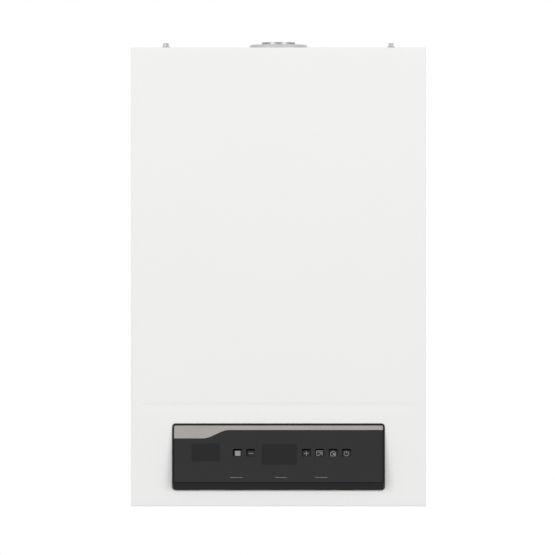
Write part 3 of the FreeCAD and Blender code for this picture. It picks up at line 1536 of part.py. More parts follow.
def make_control_box():
    """The control board behind the panel and the housing with its two hinge pins."""
    board_y = (S.board_setback, S.board_setback + S.board_thickness)
    plate = block(span(-board_half, board_half), board_y, (board_low, board_high))
    caps = [rod("y", (x, button_z), (S.board_setback - S.switch_cap_height, S.board_setback), S.switch_cap)
            for x in button_places]
    node("control_board", on_panel(fuse(plate, *caps)))

    wall = S.housing_wall
    side = fascia_half - S.housing_inset
    back = bezel_back + S.housing_flange + S.housing_depth
    box_z = (fascia_low + S.housing_low, fascia_high - S.housing_low)
    flange_gap = S.housing_flange_gap
    flange_x = span(flange_gap - fascia_half, fascia_half - flange_gap)
    flange_z = (fascia_low + flange_gap, fascia_high - flange_gap)
    flange = block(flange_x, (bezel_back, bezel_back + S.housing_flange), flange_z)
    flange = rounded(flange, S.fascia_corner, runs_along("y"))
    box = block(span(-side, side), (bezel_back, back), box_z)
    hollow_z = (box_z[0] + wall, box_z[1] - wall)
    hollow = block(span(wall - side, side - wall), (bezel_back, back - wall), hollow_z)
    pin_end = side + S.pivot_pin_reach
    pins = [rod("x", (pivot_y, pivot_z), span(side * hand, pin_end * hand), S.pivot_pin) for hand in (-1, 1)]
    node("control_housing", fuse(cut(fuse(flange, box), hollow), *pins))


make_wall_bracket()
make_rear_frame()
make_side_panel("left_side_panel", -1)
make_side_panel("right_side_panel", 1)
make_top_panel()
make_bottom_plate()
make_front_cover()
make_screws()
make_chamber()
make_burner()
make_heat_path()
make_fan()
make_flue()
make_vessel()
make_flow_group()
make_tap_water_group()
make_pump()
make_gas_valve()
make_pipes()
make_fill_valve_and_gland()
make_fascia()
BUTTON_NAMES = ("stop", "minus", "plus", "mode", "heating", "power")
for button_name, button_x in zip(BUTTON_NAMES, button_places):
    make_button(f"button_{button_name}", button_x)
make_control_box()

document.recompute()
os.makedirs("parts", exist_ok=True)
for thing in document.Objects:
    if "Invalid" in thing.State or "Error" in thing.State:
        raise RuntimeError(f"{thing.Label} did not build: {thing.State}")
for part in parts:
    if part.Shape.isNull() or not part.Shape.isValid() or not part.Shape.Solids:
        raise RuntimeError(f"{part.Label} has no valid solid")
    part.Shape.exportStep(os.path.join("parts", part.Label + ".step"))
print(len(parts), "sub-parts written")
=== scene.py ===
"""Looks of a wall-hung gas boiler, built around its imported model.

Sizes are in millimetres and the mesh builders turn them into metres.
The frame is the model's own: the origin lies on the wall, +X is right, +Y goes into the wall and +Z is up.
"""
from __future__ import annotations

import json
import logging
import math
from dataclasses import dataclass
from enum import Enum
from typing import Sequence

import bmesh
import bpy
from mathutils import Matrix, Vector

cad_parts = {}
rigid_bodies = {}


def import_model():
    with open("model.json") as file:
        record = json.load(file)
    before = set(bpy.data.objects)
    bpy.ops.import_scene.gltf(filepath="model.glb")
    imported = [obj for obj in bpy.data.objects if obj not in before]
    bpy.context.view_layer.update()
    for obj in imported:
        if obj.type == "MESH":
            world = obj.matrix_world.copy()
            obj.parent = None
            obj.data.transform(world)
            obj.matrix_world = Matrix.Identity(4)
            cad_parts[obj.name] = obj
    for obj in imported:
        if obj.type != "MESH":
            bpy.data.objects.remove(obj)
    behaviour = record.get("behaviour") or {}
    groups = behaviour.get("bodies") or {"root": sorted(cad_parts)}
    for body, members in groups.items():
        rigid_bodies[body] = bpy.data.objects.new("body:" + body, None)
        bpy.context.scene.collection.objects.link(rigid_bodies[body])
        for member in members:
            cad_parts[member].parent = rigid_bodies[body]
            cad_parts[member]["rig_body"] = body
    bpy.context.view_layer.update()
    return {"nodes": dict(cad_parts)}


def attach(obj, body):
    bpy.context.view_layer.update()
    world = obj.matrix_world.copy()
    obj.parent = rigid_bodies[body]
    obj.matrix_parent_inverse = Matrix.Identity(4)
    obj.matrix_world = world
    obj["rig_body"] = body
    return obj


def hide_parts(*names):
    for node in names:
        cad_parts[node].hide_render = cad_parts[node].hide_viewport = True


for left_over in list(bpy.data.objects):
    bpy.data.objects.remove(left_over)
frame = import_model()

log = logging.getLogger("boiler")

MM = 0.001
TOUCH = 0.001
LEAST_CORNER = 0.05
GLOSS_FINER = 3.1
GLOSS_STRONGER = 3
GRAINS_PER_CELL = 4
CREASE = math.radians(32)
FLAT = math.radians(0.4)
UP = Vector((0, 0, 1))
FORWARD = Vector((0, -1, 0))
Point = tuple[float, float]
Triple = tuple[float, float, float]
Colour = tuple[float, float, float, float]
Node = bpy.types.Node
Socket = bpy.types.NodeSocket
Tree = bpy.types.NodeTree
Inputs = dict[str | int, object]
Shape = bmesh.types.BMesh
Vert = bmesh.types.BMVert
Thing = bpy.types.Object
Row = list[Vector]
Rings = Sequence[Row]


class Graph:
    """A node tree with short ways to add nodes and to link them."""

    def __init__(self, tree: Tree) -> None:
        """Keep the tree that the nodes go into."""
        self.tree = tree

    def add(self, kind: str, inputs: Inputs | None = None, **settings: object) -> Node:
        """Add one node.

        Args:
            kind: The node's type name.
            inputs: What goes into its inputs.
            settings: Properties of the node to set.

        Returns:
            The new node.
        """
        node = self.tree.nodes.new(kind)
        for name, value in settings.items():
            setattr(node, name, value)
        self.feed(node, inputs or {})
        return node

    def feed(self, node: Node, inputs: Inputs) -> None:
        """Link outputs to a node's inputs, or give the inputs plain values.

        Args:
            node: The node.
            inputs: The outputs and values, by the inputs' names or numbers.
        """
        for name, source in inputs.items():
            if isinstance(source, Socket):
                self.tree.links.new(source, node.inputs[name])
            else:
                node.inputs[name].default_value = source

    def here(self) -> Socket:
        """The place on the surface in the object's own coordinates."""
        return self.add("ShaderNodeTexCoord").outputs["Object"]

    def math(self, operation: str, one: object, other: object) -> Socket:
        """Combine two numbers or outputs by one operation of the Math node."""
        return self.add("ShaderNodeMath", {0: one, 1: other}, operation=operation).outputs[0]

    def mixed(self, blend: str, share: object, one: object, other: object) -> Socket:
        """Mix two colours in one of the Mix node's ways; the share is how far the second counts."""
        inputs = {"Factor": share, 6: one, 7: other}
        return self.add("ShaderNodeMix", inputs, data_type="RGBA", blend_type=blend).outputs[2]


class Effect(Enum):
    """The surface effects that finishes share: name, output, and inputs with their usual values."""

    MOTTLE = ("Tone mottle", "Shade", {"Scale": 6.0, "Contrast": 0.05})
    GRAIN = ("Fine grain", "Height", {"Scale": 900.0})
    STREAKS = ("Brushed streaks", "Streak", {"Stretch": (20.0, 900.0, 900.0)})
    SPANGLE = ("Zinc spangle", "Shade", {"Scale": 140.0, "Contrast": 0.3})
    WEAR = ("Rubbed edges", "Mask", {"Amount": 0.5, "Scale": 120.0})


class EffectGroup(Graph):
    """The shader group of one shared effect."""

    def __init__(self, effect: Effect) -> None:
        """Build the group.

        Args:
            effect: The effect that it is for.
        """
        name, output, inputs = effect.value
        super().__init__(bpy.data.node_groups.new(name, "ShaderNodeTree"))
        for label, value in inputs.items():
            kind = "NodeSocketVector" if isinstance(value, tuple) else "NodeSocketFloat"
            self.tree.interface.new_socket(label, in_out="INPUT", socket_type=kind).default_value = value
        self.tree.interface.new_socket(output, in_out="OUTPUT", socket_type="NodeSocketFloat")
        self.entry = self.add("NodeGroupInput").outputs
        makers = {
            Effect.MOTTLE: self.mottle,
            Effect.GRAIN: self.grain,
            Effect.STREAKS: self.streaks,
            Effect.SPANGLE: self.spangle,
            Effect.WEAR: self.wear}
        self.add("NodeGroupOutput", {output: makers[effect]()})

    def noise(self, place: Socket, scale: object, detail: float) -> Socket:
        """A noise at a place, with its scale and its number of finer layers."""
        return self.add("ShaderNodeTexNoise", {"Vector": place, "Scale": scale, "Detail": detail}).outputs[0]

    def shade(self, value: Socket) -> Socket:
        """Turn a value around one half into a factor around one."""
        spread = self.math("MULTIPLY", self.math("SUBTRACT", value, 0.5), self.entry["Contrast"])
        return self.math("ADD", spread, 1.0)

    def mottle(self) -> Socket:
        """Broad, soft changes of tone."""
        return self.shade(self.noise(self.here(), self.entry["Scale"], detail=3.0))

    def grain(self) -> Socket:
        """A fine even grain, as on sprayed paint, moulded plastic and sand castings."""
        return self.noise(self.here(), self.entry["Scale"], detail=2.0)

    def streaks(self) -> Socket:
        """Long fine lines along the direction that is stretched least.

        Returns:
            The lines' height.
        """
        inputs = {0: self.here(), 1: self.entry["Stretch"]}
        drawn = self.add("ShaderNodeVectorMath", inputs, operation="MULTIPLY")
        return self.noise(drawn.outputs["Vector"], scale=1.0, detail=3.0)

    def spangle(self) -> Socket:
        """The crystal cells of hot-dip zinc.

        Returns:
            The cells' shade.
        """
        cells = self.add("ShaderNodeTexVoronoi", {"Vector": self.here(), "Scale": self.entry["Scale"]})
        tone = self.add("ShaderNodeSeparateColor", {"Color": cells.outputs["Color"]})
        return self.shade(tone.outputs[0])

    def wear(self) -> Socket:
        """Sharp outer edges, broken up by noise.

        Returns:
            How far the surface is rubbed.
        """
        sharp = self.add("ShaderNodeNewGeometry").outputs["Pointiness"]
        edge = self.add("ShaderNodeMapRange", {"Value": sharp, "From Min": 0.53, "From Max": 0.62})
        value = self.noise(self.here(), self.entry["Scale"], detail=3.0)
        broken = self.math("MULTIPLY", edge.outputs[0], value)
        return self.math("MULTIPLY", broken, self.entry["Amount"])


class Surface(Graph):
    """A material's nodes with its shader."""

    def __init__(self, material: bpy.types.Material) -> None:
        """Open a material.

        Args:
            material: The new material.
        """
        material.use_nodes = True
        super().__init__(material.node_tree)
        self.shader = self.tree.nodes["Principled BSDF"]

    def set(self, inputs: Inputs) -> None:
        """Give the shader's inputs their outputs and values."""
        self.feed(self.shader, inputs)

    def place(self, effect: Effect, **values: object) -> Socket:
        """Put an effect into the material; its group is built at its first use."""
        group = bpy.data.node_groups.get(effect.value[0]) or EffectGroup(effect).tree
        return self.add("ShaderNodeGroup", values, node_tree=group).outputs[0]

    def tinted(self, tint: Tint, shade: Socket) -> Socket:
        """Multiply a colour by a shade that changes over the surface."""
        return self.mixed("MULTIPLY", 1.0, tint.linear(), shade)

    def bump(self, height: Socket, depth: float) -> None:
        """Give the shader a relief with its full depth in millimetres."""
        inputs = {"Strength": 1.0, "Distance": depth * MM, "Height": height}
        self.set({"Normal": self.add("ShaderNodeBump", inputs).outputs["Normal"]})


@dataclass(frozen=True)
class Tint:
    """A colour as a screen shows it, from 0 to 255 a channel."""

    red: float
    green: float
    blue: float

    def linear(self) -> Colour:
        """The colour as a shader takes it.

        Returns:
            Three channels and full opacity.
        """
        channels = [value / 255 for value in (self.red, self.green, self.blue)]
        curved = [c / 12.92 if c <= 0.04045 else ((c + 0.055) / 1.055) ** 2.4 for c in channels]
        return (*curved, 1.0)

    def lifted(self, gain: float, lift: float = 0.0) -> Colour:
        """A brighter colour as a shader takes it: each channel times a gain, and raised by a lift."""
        return (*(min(1.0, channel * gain + lift) for channel in self.linear()[:3]), 1.0)


@dataclass(frozen=True)
class Finish:
    """A surface with its material slot in the record."""

    name: str
    slot: str
    tint: Tint
    roughness: float

    def material(self) -> bpy.types.Material:
        """The finish's material, made at its first use.

        Returns:
            The material.
        """
        made = bpy.data.materials.get(self.name)
        if made is None:
            made = bpy.data.materials.new(self.name)
            self.wire(Surface(made))
        return made

    def wire(self, surface: Surface) -> None:
        """Build the material's nodes; each kind of finish has its own."""
        raise NotImplementedError

    def tone(self, surface: Surface, scale: float, contrast: float) -> Socket:
        """Tint the colour with a mottle, and the roughness with a finer and stronger one.

        Args:
            surface: The material's nodes.
            scale: The mottle's scale.
            contrast: How far the tone moves.

        Returns:
            The tinted colour's output.
        """
        colour = surface.tinted(self.tint, surface.place(Effect.MOTTLE, Scale=scale, Contrast=contrast))
        gloss = surface.place(Effect.MOTTLE, Scale=scale * GLOSS_FINER, Contrast=contrast * GLOSS_STRONGER)
        rough = surface.math("MULTIPLY", gloss, self.roughness)
        surface.set({"Base Color": colour, "Roughness": rough})
        return colour


@dataclass(frozen=True)
class Paint(Finish):
    """Sprayed paint or powder coat with a slight orange peel."""

    peel_scale: float = 420.0
    peel_depth: float = 0.03
    contrast: float = 0.012

    def wire(self, surface: Surface) -> None:
        """Mottled colour and gloss over an orange peel.

        Args:
            surface: The material's nodes.
        """
        self.tone(surface, scale=5.0, contrast=self.contrast)
        peel = surface.place(Effect.GRAIN, Scale=self.peel_scale)
        surface.bump(peel, self.peel_depth)


class Texture(Enum):
    """How a metal surface was worked."""

    STREAKED = "brushed or drawn"
    CAST = "cast or turned"
    SPANGLED = "hot-dipped"


@dataclass(frozen=True)
class Metal(Finish):
    """A bare metal with the texture of its making, rubbed bright on its edges."""

    texture: Texture = Texture.CAST
    stretch: Triple = (1.0, 1.0, 1.0)
    contrast: float = 0.18
    grain_scale: float = 700.0
    grain_depth: float = 0.04
    rubbed: Tint | None = None

    def wire(self, surface: Surface) -> None:
        """Worked texture, mottled tone, and rubbed edges over it.

        Args:
            surface: The material's nodes.
        """
        contrast = self.contrast
        scale = self.grain_scale
        if self.texture is Texture.STREAKED:
            shade = surface.place(Effect.MOTTLE, Scale=14.0, Contrast=contrast)
            relief = surface.place(Effect.STREAKS, Stretch=self.stretch)
            gloss = surface.math("ADD", surface.math("MULTIPLY", relief, contrast), 1.0 - contrast / 2)
        elif self.texture is Texture.CAST:
            shade = gloss = surface.place(Effect.MOTTLE, Scale=60.0, Contrast=contrast)
            relief = surface.place(Effect.GRAIN, Scale=scale)
        else:
            shade = gloss = surface.place(Effect.SPANGLE, Scale=scale, Contrast=contrast)
            relief = surface.place(Effect.GRAIN, Scale=scale * GRAINS_PER_CELL)
        colour = surface.tinted(self.tint, shade)
        if self.rubbed is not None:
            mask = surface.place(Effect.WEAR, Amount=1.4, Scale=90.0)
            colour = surface.mixed("MIX", mask, colour, self.rubbed.linear())
        rough = surface.math("MULTIPLY", gloss, self.roughness)
        surface.set({"Metallic": 1.0, "Base Color": colour, "Roughness": rough})
        surface.bump(relief, self.grain_depth)


@dataclass(frozen=True)
class Plastic(Finish):
    """A moulded plastic or rubber with a fine spark-eroded grain."""

    grain_scale: float = 1600.0
    grain_depth: float = 0.02
    coat: float = 0.0
    contrast: float = 0.03
    subsurface: float = 0.0
    specular: float = 0.5

    def wire(self, surface: Surface) -> None:
        """Mottled colour over the mould's grain, with a clear coat where it is glazed.

        Args:
            surface: The material's nodes.
        """
        colour = self.tone(surface, scale=18.0, contrast=self.contrast)
        worn = self.tint.lifted(gain=1.5, lift=0.01)
        mask = surface.place(Effect.WEAR, Amount=0.5, Scale=160.0)
        surface.set({
            "Base Color": surface.mixed("MIX", mask, colour, worn),
            "Specular IOR Level": self.specular,
            "Coat Weight": self.coat,
            "Coat Roughness": 0.06,
            "Subsurface Weight": self.subsurface,
            "Subsurface Scale": 0.002})
        surface.bump(surface.place(Effect.GRAIN, Scale=self.grain_scale), self.grain_depth)


@dataclass(frozen=True)
class Glass(Finish):
    """Clear heat-proof glass with a trace of ripple."""

    def wire(self, surface: Surface) -> None:
        """Clear transmission with a slow ripple in its face.

        Args:
            surface: The material's nodes.
        """
        self.tone(surface, scale=30.0, contrast=0.02)
        surface.set({"Transmission Weight": 0.9})
        surface.bump(surface.place(Effect.GRAIN, Scale=60.0), depth=0.02)


@dataclass(frozen=True)
class Fibre(Finish):
    """Pressed ceramic fibre or a soft seal, matt and slightly fluffy."""

    def wire(self, surface: Surface) -> None:
        """A matt felted surface.

        Args:
            surface: The material's nodes.
        """
        self.tone(surface, scale=40.0, contrast=0.12)
        surface.set({"Sheen Weight": 0.3})
        surface.bump(surface.place(Effect.STREAKS, Stretch=(500.0, 260.0, 900.0)), depth=0.25)


@dataclass(frozen=True)
class Board(Finish):
    """A circuit board with tracks under its solder mask."""

    def wire(self, surface: Surface) -> None:
        """A mask whose tracks show as paler, raised lines.

        Args:
            surface: The material's nodes.
        """
        inputs = {"Vector": surface.here(), "Scale": 110.0, "Mortar Size": 0.05}
        tracks = surface.add("ShaderNodeTexBrick", inputs).outputs["Fac"]
        shade = surface.place(Effect.MOTTLE, Scale=40.0, Contrast=0.1)
        plain = surface.tinted(self.tint, shade)
        surface.set({
            "Base Color": surface.mixed("MIX", tracks, plain, self.tint.lifted(gain=1.7)),
            "Roughness": surface.math("MULTIPLY", shade, self.roughness)})
        surface.bump(tracks, depth=0.05)


WHITE = Paint("White powder coat", "white_paint", Tint(243, 243, 242), 0.42)
VESSEL_RED = Paint("Red vessel enamel", "vessel_red", Tint(150, 22, 20), 0.35, contrast=0.06)
COLLAR = Paint("Pale grey collar paint", "collar_aluminium", Tint(208, 208, 208), 0.36, peel_scale=600.0)
GALVANISED = Metal("Galvanised sheet", "galvanised", Tint(190, 194, 197), 0.42, Texture.SPANGLED,
                   grain_scale=140.0)
ALUMINISED = Metal("Aluminised sheet", "aluminised", Tint(196, 197, 196), 0.46, Texture.STREAKED,
                   (900.0, 900.0, 26.0))
ZINC = Metal("Zinc-plated steel", "zinc_steel", Tint(214, 214, 210), 0.28, Texture.CAST, contrast=0.2,
             grain_scale=1500.0, grain_depth=0.012)
STAINLESS = Metal("Stainless steel", "stainless", Tint(182, 182, 181), 0.38, Texture.STREAKED,
                  (900.0, 900.0, 20.0), grain_depth=0.008)
CAST_ALUMINIUM = Metal("Die-cast aluminium", "cast_aluminium", Tint(182, 184, 186), 0.48, Texture.CAST)
CAST_IRON = Metal("Enamelled cast iron", "cast_iron", Tint(52, 54, 56), 0.5, Texture.CAST, grain_depth=0.12,
                  rubbed=Tint(120, 118, 114))
COPPER = Metal("Drawn copper", "copper", Tint(203, 124, 88), 0.3, Texture.STREAKED, (700.0, 700.0, 24.0),
               contrast=0.3, grain_depth=0.01, rubbed=Tint(236, 164, 128))
BRASS = Metal("Turned brass", "brass", Tint(203, 170, 104), 0.3, Texture.CAST, contrast=0.22,
              grain_scale=1200.0, grain_depth=0.015, rubbed=Tint(240, 214, 150))
SILVER = Metal("Silver trim lacquer", "silver_trim", Tint(185, 180, 175), 0.42, Texture.STREAKED,
               (24.0, 1600.0, 1600.0), grain_depth=0.006)
BEZEL = Plastic("Gloss black bezel", "black_bezel", Tint(17, 17, 18), 0.28, grain_depth=0.004, specular=0.3)
LENS = Plastic("Smoked lens", "smoked_lens", Tint(24, 22, 22), 0.18, grain_depth=0.0015, contrast=0.02,
               specular=0.47)
WINDOW = Plastic("Dark display window", "display_dark", Tint(12, 12, 12), 0.14, grain_depth=0.001,
                 specular=0.39)
BUTTON = Plastic("Satin black button", "black_button", Tint(24, 22, 22), 0.2, grain_scale=2200.0,
                 specular=0.4)
# Painted shade: the cap is near-black and barely reflects, so the gap above each button face looks darker
# than its shallow recess would make it. The recess casts real shade there too.
SHADOW_BLACK_CAP = Plastic("Button cap black with painted shade", "black_button", Tint(4, 4, 4), 0.9, specular=0.1)
INK = Plastic("Grey ink", "black_button", Tint(142, 140, 139), 0.5, grain_scale=3000.0, grain_depth=0.004)
BLACK_PLASTIC = Plastic("Black nylon", "black_plastic", Tint(32, 32, 33), 0.5, grain_depth=0.03)
GREY_PLASTIC = Plastic("Grey housing plastic", "grey_plastic", Tint(120, 122, 124), 0.5, grain_depth=0.03)
WHITE_PLASTIC = Plastic("White nylon", "white_plastic", Tint(226, 224, 218), 0.45, subsurface=0.1)
RED_PLASTIC = Plastic("Red knob plastic", "red_plastic", Tint(186, 26, 22), 0.38, subsurface=0.05)
BLUE_PLASTIC = Plastic("Blue knob plastic", "blue_plastic", Tint(28, 78, 160), 0.38, subsurface=0.05)
SILICONE = Fibre("Grey silicone seal", "silicone", Tint(150, 148, 144), 0.7)
CERAMIC_FIBRE = Fibre("Ceramic fibre board", "ceramic_fibre", Tint(226, 220, 208), 0.95)
CERAMIC = Plastic("Glazed ceramic", "ceramic", Tint(232, 228, 220), 0.2, coat=0.4, grain_depth=0.003)
SIGHT_GLASS = Glass("Sight glass", "clear_glass", Tint(222, 230, 226), 0.04)
BOARD = Board("Green circuit board", "board_green", Tint(16, 84, 46), 0.35)


def arc(centre: Point, radius: float, start: float, end: float, steps: int = 6) -> list[Point]:
    """Points along a circular arc between two angles in degrees, with a number of chords."""
    turns = [math.radians(start + (end - start) * step / steps) for step in range(steps + 1)]
    return [(centre[0] + radius * math.cos(turn), centre[1] + radius * math.sin(turn)) for turn in turns]


def rounded_outline(width: float, height: float, radius: float, centre: Point = (0.0, 0.0),
                    foot: float | None = None) -> list[Point]:
    """Points of a rounded rectangle, going round from its right-hand side.

    Args:
        width: Its full width.
        height: Its full height.
        radius: Its corner radius.
        centre: Its middle.
        foot: The radius of its two lower corners, or None if they are like the upper ones.

    Returns:
        The outline's points.
    """
    points: list[Point] = []
    low = radius if foot is None else foot
    corners = ((1, 1, radius), (-1, 1, radius), (-1, -1, low), (1, -1, low))
    for number, (side, rise, bend) in enumerate(corners):
        corner = (centre[0] + side * (width / 2 - bend), centre[1] + rise * (height / 2 - bend))
        points += arc(corner, bend, 90 * number, 90 * (number + 1))
    return points


def upright(outline: Sequence[Point], depth: float) -> Row:
    """An outline drawn in X and Z, stood up at one depth."""
    return [Vector((x, depth, z)) for x, z in outline]


def ease(share: float) -> float:
    """A share of a way that starts and ends gently."""
    return share * share * (3 - 2 * share)


def band(shape: Shape, low: Sequence[Vert], high: Sequence[Vert], closed: bool = True) -> None:
    """Put faces between two equal rows of vertices.

    Args:
        shape: The mesh that the faces go into.
        low: The first row.
        high: The second row.
        closed: True if the rows are rings.
    """
    count = len(low)
    for step in range(count if closed else count - 1):
        after = (step + 1) % count
        shape.faces.new((low[step], low[after], high[after], high[step]))


def skin(shape: Shape, rings: Rings, closed: bool = False) -> None:
    """Cover a row of equal rings with faces.

    Args:
        shape: The mesh that the faces go into.
        rings: The rings in order.
        closed: True joins the last ring to the first; otherwise both ends get a cap.
    """
    rows = [[shape.verts.new(point) for point in ring] for ring in rings]
    if closed:
        rows.append(rows[0])
    else:
        shape.faces.new(list(reversed(rows[0])))
        shape.faces.new(rows[-1])
    for low, high in zip(rows, rows[1:]):
        band(shape, low, high)


def turned(profile: Sequence[Point], segments: int, centre: Point = (0.0, 0.0)) -> Rings:
    """A ring for each radius and height of a profile, round an upright axis."""
    rings = [(arc(centre, radius, 0, 360, segments)[:-1], height) for radius, height in profile]
    return [[Vector((x, y, height)) for x, y in ring] for ring, height in rings]


def plate(shape: Shape, size: Triple, depth: Point, chamfer: float, centre: Point) -> None:
    """A rounded plate whose front edge is chamfered.

    Args:
        shape: The mesh that the faces go into.
        size: Its width, height and corner radius.
        depth: Its front and back depth.
        chamfer: The front edge's chamfer.
        centre: Its middle in X and Z.
    """
    width, height, radius = size
    corner = max(radius - chamfer, LEAST_CORNER)
    inner = rounded_outline(width - chamfer * 2, height - chamfer * 2, corner, centre)
    outer = rounded_outline(width, height, radius, centre)
    skin(shape, [upright(inner, depth[0]), upright(outer, depth[0] + chamfer), upright(outer, depth[1])])


def smooth(mesh: bpy.types.Mesh) -> None:
    """Shade a mesh smooth between its sharp edges."""
    mesh.polygons.foreach_set("use_smooth", [True] * len(mesh.polygons))
    mesh.set_sharp_from_angle(angle=CREASE)


def add_object(name: str, data: bpy.types.ID) -> Thing:
    """Put a mesh, a lamp or a camera into the scene.

    Args:
        name: The object's name.
        data: What it holds.

    Returns:
        The new object.
    """
    made = bpy.data.objects.new(name, data)
    bpy.context.scene.collection.objects.link(made)
    return made


def as_object(name: str, shape: Shape, place: Matrix | None = None) -> Thing:
    """Turn a finished mesh into an object at the origin.

    Args:
        name: The object's name.
        shape: The mesh, in millimetres; it is used up.
        place: Where the mesh goes, or None if it is drawn in place.

    Returns:
        The new object.
    """
    if place is not None:
        shape.transform(place)
    shape.transform(Matrix.Scale(MM, 4))
    bmesh.ops.recalc_face_normals(shape, faces=shape.faces)
    mesh = bpy.data.meshes.new(name)
    shape.to_mesh(mesh)
    shape.free()
    smooth(mesh)
    return add_object(name, mesh)


def skinned(name: str, rings: Rings, closed: bool = False, place: Matrix | None = None) -> Thing:
    """Turn one skin over rings into an object.

    Args:
        name: The object's name.
        rings: The rings in order, in millimetres.
        closed: True joins the last ring to the first.
        place: Where the mesh goes, or None if it is drawn in place.

    Returns:
        The new object.
    """
    shape = bmesh.new()
    skin(shape, rings, closed)
    return as_object(name, shape, place)


def settle(thing: Thing) -> None:
    """Turn what an object's modifiers make into its plain mesh.

    Args:
        thing: The object.
    """
    graph = bpy.context.evaluated_depsgraph_get()
    shown = thing.evaluated_get(graph)
    made = bpy.data.meshes.new_from_object(shown, preserve_all_data_layers=True, depsgraph=graph)
    thing.modifiers.clear()
    old = thing.data
    thing.data = made
    bpy.data.meshes.remove(old)


def carve(thing: Thing, cutter: Thing) -> None:
    """Cut one object's volume out of another.

    Args:
        thing: The object that is cut.
        cutter: The volume; it is used up.
    """
    modifier = thing.modifiers.new("Openings", "BOOLEAN")
    modifier.operation = "DIFFERENCE"
    modifier.solver = "EXACT"
    modifier.object = cutter
    settle(thing)
    bpy.data.objects.remove(cutter)
    smooth(thing.data)


def soften(thing: Thing, width: float) -> None:
    """Round an object's sharp edges.

    Args:
        thing: The object.
        width: How wide the rounding is.
    """
    bevel = thing.modifiers.new("Soft edges", "BEVEL")
    bevel.width = width * MM
    bevel.segments = 2
    bevel.limit_method = "ANGLE"
    bevel.angle_limit = CREASE
    normals = thing.modifiers.new("Flat faces", "WEIGHTED_NORMAL")
    normals.keep_sharp = True
    settle(thing)


def dress(thing: Thing, finish: Finish, body: str, *replaced: str) -> None:
    """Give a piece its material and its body.

    Args:
        thing: The finished piece.
        finish: Its surface.
        body: The body that it moves with.
        replaced: The solids that it stands for.
    """
    thing.data.materials.clear()
    thing.data.materials.append(finish.material())
    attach(thing, body)
    if replaced:
        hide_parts(*replaced)
    log.info("%s: %s on %s, %d faces", thing.name, finish.name, body, len(thing.data.polygons))


def coat(finish: Finish, *nodes: str) -> None:
    """Give solids that keep their own shape a finish.

    Args:
        finish: The surface.
        nodes: The solids' names.
    """
    for name in nodes:
        for slot in frame["nodes"][name].material_slots:
            slot.material = finish.material()
        log.info("%s: %s", name, finish.name)


def softened(finish: Finish, *nodes: str, width: float) -> None:
    """Replace solids by copies whose sharp edges are rounded.

    Args:
        finish: Their surface.
        nodes: The solids' names.
        width: How wide the rounding is.
    """
    for name in nodes:
        solid = frame["nodes"][name]
        shape = bmesh.new()
        shape.from_mesh(solid.data)
        bmesh.ops.remove_doubles(shape, verts=shape.verts, dist=TOUCH * MM)
        bmesh.ops.dissolve_limit(shape, angle_limit=FLAT, verts=shape.verts, edges=shape.edges)
        shape.transform(Matrix.Scale(1 / MM, 4))
        copy = as_object(f"{name}_skin", shape)
        soften(copy, width)
        dress(copy, finish, solid["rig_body"], name)


class Recipe(Graph):
    """A geometry node tree with named inputs that makes one kind of repeat."""

    def __init__(self, name: str, **inputs: str) -> None:
        """Open the tree.

        Args:
            name: The tree's name.
            inputs: The kind of each named input after the geometry.
        """
        super().__init__(bpy.data.node_groups.new(name, "GeometryNodeTree"))
        sockets = {"Geometry": "Geometry", **inputs, "Finish": "Material"}
        for label, kind in sockets.items():
            self.tree.interface.new_socket(label, in_out="INPUT", socket_type=f"NodeSocket{kind}")
        self.tree.interface.new_socket("Geometry", in_out="OUTPUT", socket_type="NodeSocketGeometry")
        self.entry = self.add("NodeGroupInput").outputs

    def scatter(self, points: Socket, shape: Socket, **inputs: Socket) -> Socket:
        """Put a copy of a shape on each point, with more inputs of the node that does it."""
        inputs |= {"Points": points, "Instance": shape}
        return self.add("GeometryNodeInstanceOnPoints", inputs).outputs["Instances"]

    def close(self, copies: Socket) -> None:
        """End the tree: real faces with the finish on them.

        Args:
            copies: The copies that become faces.
        """
        real = self.add("GeometryNodeRealizeInstances", {"Geometry": copies}).outputs["Geometry"]
        inputs = {"Geometry": real, "Material": self.entry["Finish"]}
        finished = self.add("GeometryNodeSetMaterial", inputs).outputs["Geometry"]
        self.add("NodeGroupOutput", {"Geometry": finished})

    def make(self, name: str, points: Row, facing: Row, finish: Finish, **values: object) -> Thing:
        """Run the tree on a row of points.

        Args:
            name: The piece's name.
            points: Where the repeats go, in millimetres.
            facing: The direction of each point.
            finish: The piece's surface.
            values: The tree's inputs by name.

        Returns:
            The piece as a plain mesh.
        """
        mesh = bpy.data.meshes.new(name)
        mesh.from_pydata([point * MM for point in points], [], [])
        directions = mesh.attributes.new("facing", "FLOAT_VECTOR", "POINT")
        for item, direction in zip(directions.data, facing):
            item.vector = direction
        made = add_object(name, mesh)
        modifier = made.modifiers.new(name, "NODES")
        modifier.node_group = self.tree
        values["Finish"] = finish.material()
        for item in self.tree.interface.items_tree:
            if item.in_out == "INPUT" and item.name in values:
                modifier[item.identifier] = values[item.name]
        settle(made)
        return made


class ScatterRecipe(Recipe):
    """Copies of one part on points, each along its point's direction and turned by chance."""

    def __init__(self) -> None:
        """Build the tree."""
        super().__init__("Scattered parts", Part="Object", Turn="Float", Seed="Int")
        entry = self.entry
        part = self.add("GeometryNodeObjectInfo", {"Object": entry["Part"]}).outputs["Geometry"]
        facing = self.add("GeometryNodeInputNamedAttribute", {"Name": "facing"}, data_type="FLOAT_VECTOR")
        inputs = {"Vector": facing.outputs["Attribute"]}
        align = self.add("FunctionNodeAlignRotationToVector", inputs, axis="Z")
        inputs = {3: entry["Turn"], "Seed": entry["Seed"]}
        chance = self.add("FunctionNodeRandomValue", inputs, data_type="FLOAT")
        about = self.add("ShaderNodeCombineXYZ", {"Z": chance.outputs[1]})
        copies = self.scatter(entry["Geometry"], part, Rotation=align.outputs["Rotation"])
        inputs = {"Instances": copies, "Rotation": about.outputs["Vector"]}
        self.close(self.add("GeometryNodeRotateInstances", inputs).outputs["Instances"])


